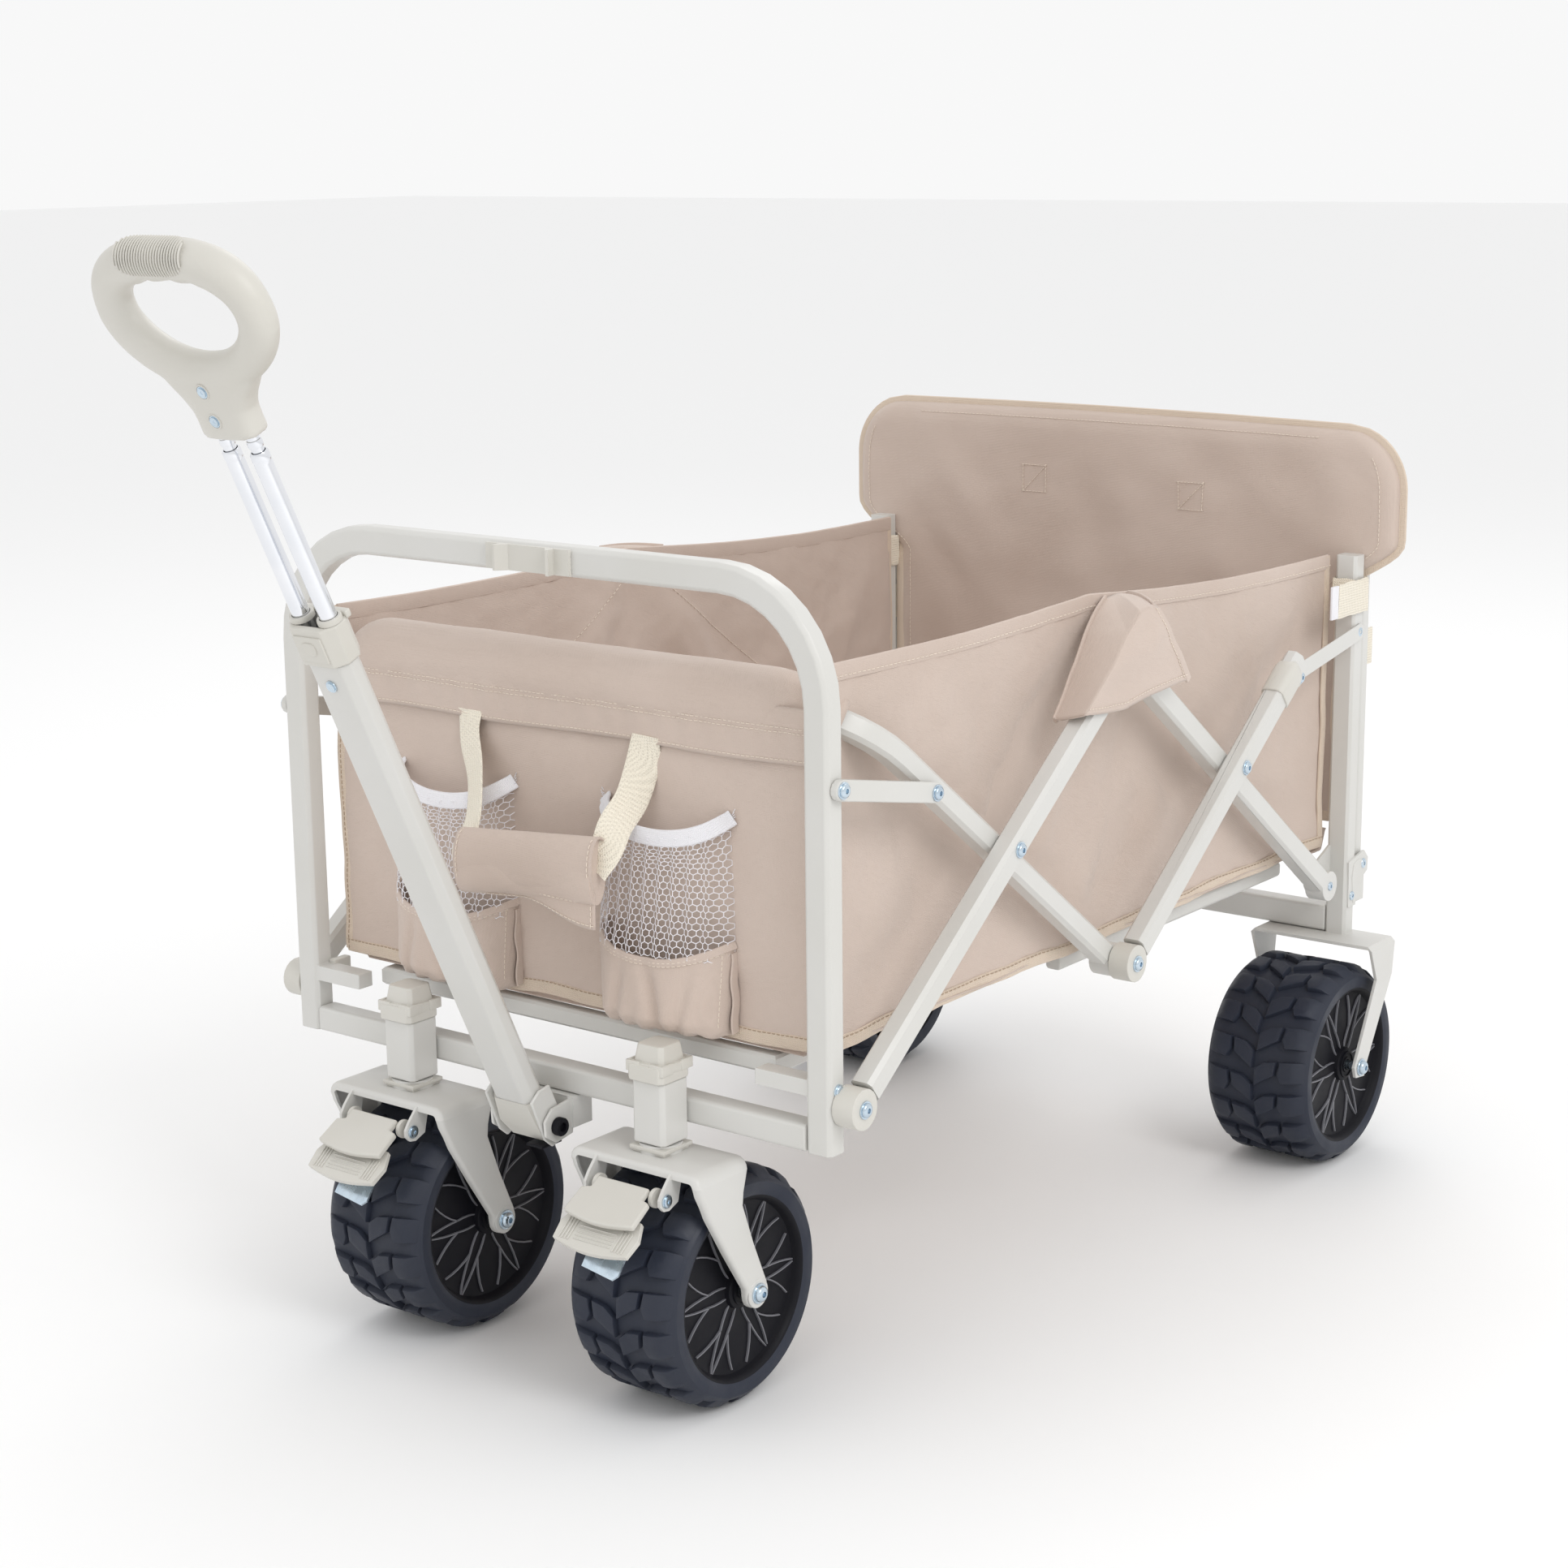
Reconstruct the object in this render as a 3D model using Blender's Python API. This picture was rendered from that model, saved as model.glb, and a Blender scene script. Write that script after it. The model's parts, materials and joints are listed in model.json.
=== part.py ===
"""Folding beach cart: a front hoop, scissor side arms, a fabric bag, a drop-down tailgate, wide sand wheels.

Metres, +Z up, +X towards the pull handle, +Y to the cart's left. Positions below are measured from the
front face of the front uprights (x = 0) and the ground (z = 0); ORIGIN then puts them round the box centre.
"""

import math

import bmesh
import bpy
from mathutils import Vector

GAP = 0.0003  # clearance between touching pieces
ORIGIN = Vector((0.2445, 0.0, 0.0))

# Wheels
WHEEL_R = 0.090
TYRE_HALF = 0.0495
RIM_R = 0.0715
AXLE_R = 0.004
WHEEL_STEPS = 28

# Front frame
FRAME_HALF = 0.265
TUBE_Y = 0.022
TUBE_X = 0.019
BAR_TOP = 0.624
BAR_H = 0.021
FRAME_BOTTOM = 0.215
CORNER_R = 0.084
CROSSBAR_TOP = 0.235

# Castors
STEM_X = 0.0153
STEM_Y = 0.1245
TRAIL = 0.034
SLEEVE = 0.030
SLEEVE_Z = (0.2050, 0.2520)
PLATE_TOP = 0.1975
PLATE_X = (-0.010, 0.047)
FORK_HALF = 0.0605
SHEET = 0.003

# Scissor arms: angle at rest, pivots and lengths along each arm
ARM_ANGLE = math.radians(36.8)
FRONT_PIVOT = Vector((-0.016, 0.0, 0.250))
LOWER_LEN = 0.2429  # bottom pivot to crossing
UPPER_LEN = 0.2123  # crossing to apex, and crossing to the mid-bottom pivot
HOOP_TIP = 0.2060  # crossing to the hoop's cross tube
REAR_TIP = 0.1040  # rear crossing to the rear arm's top end
ARM_W = 0.020  # arm tube, across its length
ARM_T = 0.018  # arm tube, along Y
OUTER_Y = FRAME_HALF + GAP + ARM_T / 2
INNER_Y = OUTER_Y - ARM_T - 0.0006

# Rear frame
POST_X = (-0.797, -0.779)
POST_Y = (0.243, 0.263)
POST_Z = (0.1945, 0.541)
REAR_AXLE_X = -0.7405
REAR_WHEEL_Y = 0.2420
REAR_FORK_TOP = 0.1970

# Bed and bag
BED_PIVOT_Z = 0.262
BED_FRONT_X = -0.034
BED_RAIL = 0.014
BED_FRONT_Y = 0.190
BED_REAR_Y = 0.214
BAG_Y = 0.236
BAG_T = 0.003
BAG_BOTTOM = 0.277
POCKET_Y = (0.104, -0.104)
STRAP_Y = (0.072, -0.072)

# Tailgate
GATE_PIVOT = Vector((-0.8085, 0.0, 0.258))
GATE_TUBE = 0.016
GATE_Y = 0.252
GATE_TOP = 0.622
GATE_END = 0.006  # tube below its hinge, short enough to turn clear of the post

# Handle
HANDLE_PIVOT = Vector((0.0190, 0.0, 0.1960))
HANDLE_LEAN = math.radians(25.3)
TUBE_S = (0.026, 0.415)
ROD_Y = 0.012
COLLAR_S = (GAP + 0.415, 0.445)
LOWER_ROD_S = (0.275, 0.575)
UPPER_ROD_S = (0.410, 0.602)
GRIP_S = (0.584, 0.738)
GRIP_HALF = 0.072
GRIP_R = 0.0125

MATERIALS = {
    "cream_paint": ((0.80, 0.78, 0.70), 0.35, 0.0),
    "cream_plastic": ((0.82, 0.79, 0.70), 0.45, 0.0),
    "fabric": ((0.60, 0.47, 0.40), 0.90, 0.0),
    "webbing": ((0.83, 0.72, 0.56), 0.90, 0.0),
    "rubber": ((0.030, 0.032, 0.038), 0.60, 0.0),
    "black_plastic": ((0.012, 0.012, 0.014), 0.45, 0.0),
    "chrome": ((0.80, 0.81, 0.84), 0.12, 1.0),
    "zinc": ((0.62, 0.70, 0.76), 0.30, 1.0),
}


def material(name):
    found = bpy.data.materials.get(name)
    if found:
        return found
    colour, roughness, metallic = MATERIALS[name]
    made = bpy.data.materials.new(name)
    made.use_nodes = True
    shader = made.node_tree.nodes["Principled BSDF"]
    shader.inputs["Base Color"].default_value = (*colour, 1.0)
    shader.inputs["Roughness"].default_value = roughness
    shader.inputs["Metallic"].default_value = metallic
    return made


def helper(name, bm):
    """A hidden solid that another piece is joined with or cut by."""
    bmesh.ops.recalc_face_normals(bm, faces=bm.faces)
    mesh = bpy.data.meshes.new(name)
    bm.to_mesh(mesh)
    bm.free()
    made = bpy.data.objects.new(name, mesh)
    made.location = ORIGIN
    made.hide_render = True
    made.display_type = "WIRE"
    bpy.context.collection.objects.link(made)
    return made


def node(name, bm, finish, pivot=Vector((0, 0, 0)), joins=(), cuts=()):
    """Makes one named solid with its origin on its joint's axis, joined with and cut by helpers."""
    pivot = Vector(pivot)
    bmesh.ops.translate(bm, verts=bm.verts, vec=-pivot)
    bmesh.ops.recalc_face_normals(bm, faces=bm.faces)
    mesh = bpy.data.meshes.new(name)
    bm.to_mesh(mesh)
    bm.free()
    mesh.materials.append(material(finish))
    mesh.shade_smooth()
    mesh.set_sharp_from_angle(angle=math.radians(35))
    made = bpy.data.objects.new(name, mesh)
    made.location = pivot + ORIGIN
    bpy.context.collection.objects.link(made)
    for operation, tools in (("UNION", joins), ("DIFFERENCE", cuts)):
        for i, tool in enumerate(tools):
            modifier = made.modifiers.new(f"{operation.lower()}_{i}", "BOOLEAN")
            modifier.operation = operation
            modifier.object = helper(f"{name}_{operation.lower()}_{i}", tool)
    return made


def shape(build, *values):
    """A new bmesh filled by one of the shape functions below."""
    bm = bmesh.new()
    build(bm, *values)
    return bm


def loop_faces(bm, rings, closed=False):
    """Joins rings of equal length with quads and, unless closed, caps both ends."""
    made = [[bm.verts.new(point) for point in ring] for ring in rings]
    pairs = list(zip(made, made[1:]))
    if closed:
        pairs.append((made[-1], made[0]))
    for low, high in pairs:
        for i in range(len(low)):
            j = (i + 1) % len(low)
            bm.faces.new((low[i], low[j], high[j], high[i]))
    if not closed:
        bm.faces.new(made[0][::-1])
        bm.faces.new(made[-1])


def rounded(width, height, chamfer):
    """Section of a tube with cut corners, centred on 0."""
    w, h, c = width / 2, height / 2, chamfer
    return [(w - c, -h), (w, -h + c), (w, h - c), (w - c, h), (-w + c, h), (-w, h - c), (-w, -h + c), (-w + c, -h)]


def sweep(bm, path, section, side, closed=False):
    """Sweeps a section along a planar path. side is the plane's normal, the section's second direction."""
    path = [Vector(point) for point in path]
    side = Vector(side).normalized()
    count = len(path)
    rings = []
    for i, point in enumerate(path):
        if closed:
            before, after = path[i - 1], path[(i + 1) % count]
        else:
            before, after = path[max(i - 1, 0)], path[min(i + 1, count - 1)]
        into = (point - before).normalized() if before != point else None
        out = (after - point).normalized() if after != point else None
        into, out = into or out, out or into
        along = (into + out).normalized()
        across = along.cross(side).normalized()
        stretch = 1 / max(0.5, along.dot(into))
        rings.append([point + across * (a * stretch) + side * b for a, b in section])
    loop_faces(bm, rings, closed)


def arc(centre, radius, start, end, steps, to_point):
    """Points of an arc in degrees, placed by to_point(a, b)."""
    angles = [math.radians(start + (end - start) * i / steps) for i in range(steps + 1)]
    return [to_point(centre[0] + radius * math.cos(t), centre[1] + radius * math.sin(t)) for t in angles]


def circle_section(radius, steps):
    turns = [2 * math.pi * i / steps for i in range(steps)]
    return [(radius * math.cos(t), radius * math.sin(t)) for t in turns]


def box(bm, x, y, z):
    rings = [[Vector((a, b, c)) for a, b in ((x[0], y[0]), (x[1], y[0]), (x[1], y[1]), (x[0], y[1]))] for c in z]
    loop_faces(bm, rings)


def plate_xz(bm, outline, y):
    """A plate with its outline in XZ, between two values of y."""
    loop_faces(bm, [[Vector((a, b, c)) for a, c in outline] for b in y])


def plate_xy(bm, outline, z):
    loop_faces(bm, [[Vector((a, b, c)) for a, b in outline] for c in z])


def plate_yz(bm, outline, x):
    loop_faces(bm, [[Vector((a, b, c)) for b, c in outline] for a in x])


def rod(bm, start, end, radius, steps=12, radius_end=None):
    """A round rod, or a cone with radius_end."""
    start, end = Vector(start), Vector(end)
    along = (end - start).normalized()
    u = along.orthogonal().normalized()
    v = along.cross(u)
    rings = []
    for point, r in ((start, radius), (end, radius if radius_end is None else radius_end)):
        turns = [2 * math.pi * i / steps for i in range(steps)]
        rings.append([point + u * (r * math.cos(t)) + v * (r * math.sin(t)) for t in turns])
    loop_faces(bm, rings)


def turned_y(bm, profile, centre, steps):
    """Turns a closed profile of (radius, y) points round a Y axis through centre."""
    rings = []
    for i in range(steps):
        t = 2 * math.pi * i / steps
        rings.append([Vector((centre[0] + r * math.cos(t), centre[1] + y, centre[2] + r * math.sin(t)))
                      for r, y in profile])
    loop_faces(bm, rings, closed=True)


def hollow(bm, start, end, outer, inner):
    """A tube open at both ends, from two equal-length sections given as vectors."""
    rings = [[end + p for p in outer], [start + p for p in outer], [start + p for p in inner], [end + p for p in inner]]
    loop_faces(bm, rings, closed=True)


def shaft_y(bm, centre, stations, steps=12):
    """A round solid along Y, from (y, radius) stations measured from centre."""
    turns = [2 * math.pi * i / steps for i in range(steps)]
    loop_faces(bm, [[Vector((centre[0] + r * math.cos(t), centre[1] + y, centre[2] + r * math.sin(t)))
                     for t in turns] for y, r in stations])


SIDES = ((1, "left"), (-1, "right"))


def span(side, low, high):
    """A y range on one side, lowest first."""
    return tuple(sorted((side * low, side * high)))


def arm_point(start, length, angle):
    """A point at a distance along an arm that leans back by angle from the rearward level."""
    return start + Vector((-math.cos(angle) * length, 0, math.sin(angle) * length))


CROSS_FRONT = arm_point(FRONT_PIVOT, LOWER_LEN, ARM_ANGLE)
APEX = arm_point(CROSS_FRONT, UPPER_LEN, ARM_ANGLE)
MID_BOTTOM = Vector((APEX.x, 0, CROSS_FRONT.z - UPPER_LEN * math.sin(ARM_ANGLE)))
HOOP_TOP = CROSS_FRONT + Vector((math.cos(ARM_ANGLE), 0, math.sin(ARM_ANGLE))) * HOOP_TIP


def mirrored(point):
    """The same point of the rear half, mirrored through the apex."""
    return Vector((2 * APEX.x - point.x, point.y, point.z))


REAR_PIVOT = mirrored(FRONT_PIVOT)
CROSS_REAR = mirrored(CROSS_FRONT)
REAR_TOP = arm_point(CROSS_REAR, REAR_TIP, ARM_ANGLE)


def at_y(point, y):
    return Vector((point.x, y, point.z))


def arm_tube(bm, start, end, y):
    sweep(bm, [at_y(start, y), at_y(end, y)], rounded(ARM_W, ARM_T, 0.003), (0, 1, 0))


def eye(bm, centre, y, radius, half):
    """A round plastic knuckle round a pivot."""
    rod(bm, at_y(centre, y - half), at_y(centre, y + half), radius, 20)


def front_frame():
    bm = bmesh.new()
    x = -TUBE_X / 2
    y = FRAME_HALF - TUBE_Y / 2
    z = BAR_TOP - BAR_H / 2
    corner = CORNER_R
    place = lambda a, b: Vector((x, a, b))
    path = [place(-y, FRAME_BOTTOM)]
    path += arc((-y + corner, z - corner), corner, 180, 90, 8, place)
    path += arc((y - corner, z - corner), corner, 90, 0, 8, place)
    path.append(place(y, FRAME_BOTTOM))
    sweep(bm, path, rounded(TUBE_Y, TUBE_X, 0.003), (1, 0, 0))
    ears = []
    for side, _ in SIDES:
        y = span(side, BED_FRONT_Y + BED_RAIL / 2 + GAP, FRAME_HALF - TUBE_Y + 0.004)
        ears.append(shape(box, (-TUBE_X + 0.002, -0.002), y, (BED_PIVOT_Z - 0.006, BED_PIVOT_Z + 0.006)))
    node("front_hoop", bm, "cream_paint", joins=ears)

    bm = bmesh.new()
    inner = FRAME_HALF - TUBE_Y - GAP
    zc = (FRAME_BOTTOM + CROSSBAR_TOP) / 2
    ends = [(-TUBE_X / 2, -inner, zc), (-TUBE_X / 2, inner, zc)]
    sweep(bm, ends, rounded(CROSSBAR_TOP - FRAME_BOTTOM, TUBE_X, 0.002), (1, 0, 0))
    node("front_crossbar", bm, "cream_paint")


def castor_sleeves():
    for side, label in SIDES:
        y = side * STEM_Y
        outline = [(STEM_X + a, y + b) for a, b in rounded(SLEEVE, SLEEVE, 0.003)]
        node(f"castor_sleeve_{label}", shape(plate_xy, outline, SLEEVE_Z), "cream_paint")
        rings = []
        low = SLEEVE_Z[1] + GAP
        for z, grow in ((low, 0.0015), (low + 0.012, 0.0015), (low + 0.0125, -0.001), (low + 0.026, -0.003)):
            size = SLEEVE + 2 * grow
            shift = max(grow, 0)
            rings.append([Vector((STEM_X + shift + a, y + b, z)) for a, b in rounded(size, size, 0.003)])
        node(f"sleeve_cap_{label}", shape(loop_faces, rings), "cream_plastic")


def castor(side, label):
    """One swivel castor: fork with bearing plate and brake ears, axle, brake pedal and wheel."""
    centre = Vector((STEM_X, side * STEM_Y, 0))
    axle = Vector((STEM_X - TRAIL, centre.y, WHEEL_R))
    y0 = centre.y
    joins = [shape(rod, (STEM_X, y0, PLATE_TOP - 0.001), (STEM_X, y0, SLEEVE_Z[0] - GAP), 0.016, 16)]
    ear = [(0.034, PLATE_TOP - 0.001), (0.0460, PLATE_TOP - 0.0015), (0.0600, 0.1815), (0.0610, 0.1740),
           (0.0520, 0.1680), (0.0400, 0.1720)]
    for offset in (-0.0345, 0.0345):
        joins.append(shape(plate_xz, ear, (y0 + offset - 0.0012, y0 + offset + 0.0012)))
    fork = shape(fork_shell, axle, PLATE_X, PLATE_TOP)
    node(f"castor_fork_{label}", fork, "cream_paint", centre, joins, [axle_bore(axle)])
    node(f"castor_axle_{label}", shape(axle_bolt, axle), "zinc", axle)

    top = [(0.0500, 0.1815), (0.0570, 0.1830), (0.0830, 0.1650), (0.0850, 0.1590), (0.0800, 0.1540), (0.0500, 0.1720)]
    foot = [(0.0790, 0.1555), (0.0850, 0.1600), (0.0960, 0.1490), (0.0950, 0.1440), (0.0700, 0.1420), (0.0640, 0.1560)]
    upper = shape(plate_xz, top, (y0 - 0.0325, y0 + 0.0325))
    lower = shape(plate_xz, foot, (y0 - 0.0365, y0 + 0.0365))
    node(f"brake_pedal_{label}", upper, "cream_plastic", (0.0530, y0, 0.1770), [lower])
    wheel(axle, f"front_{label}")


def fork_shell(bm, axle, x, top):
    """A pressed fork: a bridge over the wheel with a tapering leg folded down on each side."""
    bend = 0.004
    foot = [
        [(axle.x - 0.0075, axle.z - 0.0100), (axle.x + 0.0085, axle.z - 0.0080)],
        [(axle.x - 0.0110, axle.z), (axle.x + 0.0120, axle.z + 0.002)],
        [(x[0] + 0.004, top - 0.033), (x[1] - 0.012, top - 0.033)],
    ]

    def skin(half, high, cut):
        """Stations from the left foot, over the bridge, to the right foot."""
        rows = [(-half, row) for row in foot]
        rows.append((-half, [(x[0], high - cut), (x[1], high - cut)]))
        rows.append((-half + cut, [(x[0], high), (x[1], high)]))
        rows += [(-y, row) for y, row in rows[::-1]]
        return [[Vector((a, axle.y + y, b)) for a, b in row] for y, row in rows]

    outer = skin(FORK_HALF, top, bend)
    inner = skin(FORK_HALF - SHEET, top - SHEET, bend - SHEET)
    loop_faces(bm, [[o[0], o[1], i[1], i[0]] for o, i in zip(outer, inner)])


def axle_bolt(bm, axle):
    """Axle through both fork legs, with a head at each end."""
    reach = FORK_HALF + GAP
    ends = [(-reach - 0.0055, 0.0055), (-reach, 0.0075), (-reach, AXLE_R)]
    shaft_y(bm, axle, ends + [(-y, r) for y, r in ends[::-1]])


def axle_bore(axle):
    reach = FORK_HALF + 0.010
    return shape(shaft_y, axle, [(-reach, AXLE_R + GAP), (reach, AXLE_R + GAP)])


def wheel(axle, label):
    """Tyre on a rim with a hub and a web near its outer face."""
    r, half = WHEEL_R, TYRE_HALF
    tyre = [(RIM_R + GAP, -half + 0.001), (0.0815, -half), (0.0870, -half + 0.004), (r, -half + 0.012),
            (r, half - 0.012), (0.0870, half - 0.004), (0.0815, half), (RIM_R + GAP, half - 0.001)]
    bm = bmesh.new()
    turned_y(bm, tyre, axle, WHEEL_STEPS)
    node(f"tyre_{label}", bm, "rubber", axle)

    bore = AXLE_R + GAP
    rim = [(bore, -0.040), (0.0150, -0.040), (0.0170, 0.0345), (0.0645, 0.0345), (0.0660, -0.047), (RIM_R, -0.048),
           (RIM_R, 0.048), (0.0670, 0.047), (0.0655, 0.0405), (0.0170, 0.0405), (0.0150, 0.0460), (bore, 0.0460)]
    if label == "rear_right":  # the castors are alike, and the rear wheels face outwards
        rim = [(r, -y) for r, y in rim[::-1]]
    bm = bmesh.new()
    turned_y(bm, rim, axle, WHEEL_STEPS)
    node(f"rim_{label}", bm, "black_plastic", axle)


def scissor_arms():
    knuckle, end_eye = 0.0150, 0.0135
    for side, label in SIDES:
        outer, inner = side * OUTER_Y, side * INNER_Y
        arm = bmesh.new()
        arm_tube(arm, arm_point(FRONT_PIVOT, knuckle + GAP, ARM_ANGLE), APEX, outer)
        node(f"front_arm_{label}", arm, "cream_paint", FRONT_PIVOT, [shape(eye, APEX, outer, knuckle, ARM_T / 2)])
        low = shape(eye, FRONT_PIVOT, outer, knuckle, ARM_T / 2)
        node(f"front_knuckle_{label}", low, "cream_plastic", FRONT_PIVOT)

        ends = [shape(eye, point, inner, end_eye, ARM_T / 2) for point in (APEX, REAR_PIVOT)]
        arm = shape(arm_tube, APEX, REAR_PIVOT, inner)
        node(f"rear_lower_arm_{label}", arm, "cream_paint", APEX, ends)

        arm = shape(arm_tube, arm_point(MID_BOTTOM, knuckle + GAP, ARM_ANGLE), REAR_TOP, outer)
        tip = [at_y(arm_point(REAR_TOP, s, ARM_ANGLE), outer) for s in (-0.024, 0.020)]
        cap = shape(sweep, tip, rounded(ARM_W + 0.002, ARM_T - 0.001, 0.005), (0, 1, 0))
        node(f"rear_upper_arm_{label}", arm, "cream_paint", CROSS_REAR, [cap])
        low = shape(eye, MID_BOTTOM, outer, knuckle, ARM_T / 2)
        node(f"mid_knuckle_{label}", low, "cream_plastic", CROSS_REAR)

    # The hoop that carries the bag's front: legs in the inner layer, joined across the top.
    down = -Vector((math.cos(ARM_ANGLE), 0, math.sin(ARM_ANGLE)))
    corner = 0.060
    place = lambda a, b: HOOP_TOP + down * (-b) + Vector((0, a, 0))
    length = HOOP_TIP + UPPER_LEN
    path = [place(-INNER_Y, -length)]
    path += arc((-INNER_Y + corner, -corner), corner, 180, 90, 7, place)
    path += arc((INNER_Y - corner, -corner), corner, 90, 0, 7, place)
    path.append(place(INNER_Y, -length))
    hoop = shape(sweep, path, rounded(ARM_T, ARM_T, 0.003), down.cross(Vector((0, 1, 0))))
    ends = [shape(eye, MID_BOTTOM, side * INNER_Y, end_eye, ARM_T / 2 - 0.0002) for side, _ in SIDES]
    node("bag_hoop", hoop, "cream_paint", CROSS_FRONT, ends)


def strut(bm, start, end, y):
    """A flat link with round ends."""
    along = (end - start).normalized()
    across = Vector((-along.z, 0, along.x))
    ends = []
    for centre, first in ((end, -90), (start, 90)):
        for i in range(7):
            t = math.radians(first + 30 * i)
            ends.append(centre + (along * math.cos(t) + across * math.sin(t)) * 0.0075)
    plate_xz(bm, [(p.x, p.z) for p in ends], y)


STRUT_FRONT = (Vector((-0.0095, 0, 0.476)), Vector((-0.121, 0, 0.4535)))
STRUT_REAR = (Vector((-0.788, 0, 0.473)), Vector((-0.664, 0, 0.452)))
STRUT_FRONT_Y = (FRAME_HALF + GAP, FRAME_HALF + GAP + 0.006)
STRUT_REAR_Y = (POST_Y[1] + GAP, OUTER_Y - ARM_T / 2 - GAP)  # a thin link between the post and the arm


def struts():
    """Short links from the uprights and posts to the arms."""
    for name, (start, end), y in (("front_strut", STRUT_FRONT, STRUT_FRONT_Y), ("rear_strut", STRUT_REAR, STRUT_REAR_Y)):
        for side, label in SIDES:
            node(f"{name}_{label}", shape(strut, start, end, span(side, *y)), "cream_paint", start)


def rear_frame():
    xc = sum(POST_X) / 2
    for side, label in SIDES:
        axle = Vector((REAR_AXLE_X, side * REAR_WHEEL_Y, WHEEL_R))
        yc = side * sum(POST_Y) / 2
        w, d = POST_X[1] - POST_X[0], POST_Y[1] - POST_Y[0]
        post = shape(plate_xy, [(xc + a, yc + b) for a, b in rounded(w, d, 0.0025)], POST_Z)
        # An ear in front of the post holds the lower arm, and a plate behind it holds the tailgate.
        ear = [(POST_X[1] - 0.004, 0.228), (REAR_PIVOT.x + 0.004, 0.240), (REAR_PIVOT.x + 0.011, 0.250),
               (REAR_PIVOT.x + 0.004, 0.262), (POST_X[1] - 0.004, 0.280)]
        plate = [(POST_X[1] - 0.003, 0.222), (POST_X[1] - 0.002, 0.264), (GATE_PIVOT.x - 0.002, 0.270),
                 (GATE_PIVOT.x - 0.010, 0.262), (GATE_PIVOT.x - 0.009, 0.250), (POST_X[0] + 0.001, 0.240),
                 (POST_X[0] + 0.001, 0.222)]
        ear_y = INNER_Y - ARM_T / 2 - GAP
        joins = [shape(fork_shell, axle, (POST_X[0] - 0.004, POST_X[1] + 0.024), REAR_FORK_TOP),
                 shape(plate_xz, ear, span(side, ear_y - 0.0025, ear_y)),
                 shape(plate_xz, plate, span(side, POST_Y[1] - 0.0008, POST_Y[1] + 0.0017))]
        node(f"rear_post_{label}", post, "cream_paint", REAR_PIVOT, joins, [axle_bore(axle)])
        node(f"rear_axle_{label}", shape(axle_bolt, axle), "zinc", axle)
        wheel(axle, f"rear_{label}")

    inner = POST_Y[0] - GAP
    bar = shape(sweep, [(xc, -inner, 0.2095), (xc, inner, 0.2095)], rounded(0.024, 0.018, 0.002), (1, 0, 0))
    node("rear_crossbar", bar, "cream_paint", REAR_PIVOT)


def bed():
    half = BED_RAIL / 2
    z = (BED_PIVOT_Z - half, BED_PIVOT_Z + half)
    mid = APEX.x
    rear_x = 2 * mid - BED_FRONT_X

    bm = bmesh.new()
    rail_y = BED_FRONT_Y
    path = [Vector((mid - 0.014, -rail_y, BED_PIVOT_Z)), Vector((BED_FRONT_X, -rail_y, BED_PIVOT_Z)),
            Vector((BED_FRONT_X, rail_y, BED_PIVOT_Z)), Vector((mid - 0.014, rail_y, BED_PIVOT_Z))]
    sweep(bm, path, rounded(BED_RAIL, BED_RAIL, 0.002), (0, 0, 1))
    hinge_x, hinge_z = mid + 0.004, BED_PIVOT_Z - 0.004
    hinge = shape(rod, (hinge_x, -rail_y, hinge_z), (hinge_x, rail_y, hinge_z), 0.0055, 10)
    node("bed_front_frame", bm, "cream_paint", (BED_FRONT_X, 0, BED_PIVOT_Z), [hinge])

    bm = bmesh.new()
    rail_y = BED_REAR_Y
    path = [Vector((mid + 0.014, -rail_y, BED_PIVOT_Z)), Vector((rear_x, -rail_y, BED_PIVOT_Z)),
            Vector((rear_x, rail_y, BED_PIVOT_Z)), Vector((mid + 0.014, rail_y, BED_PIVOT_Z))]
    sweep(bm, path, rounded(BED_RAIL, BED_RAIL, 0.002), (0, 0, 1))
    node("bed_rear_frame", bm, "cream_paint", (rear_x, 0, BED_PIVOT_Z))

    top = z[1] + GAP
    for name, x, pivot in (("bed_pad_front", (mid + 0.0002, BED_FRONT_X - 0.010), BED_FRONT_X),
                           ("bed_pad_rear", (rear_x + 0.004, mid - 0.0002), rear_x)):
        bm = bmesh.new()
        box(bm, x, (-BAG_Y + 0.004, BAG_Y - 0.004), (top, top + 0.006))
        node(name, bm, "fabric", (pivot, 0, BED_PIVOT_Z))


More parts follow.
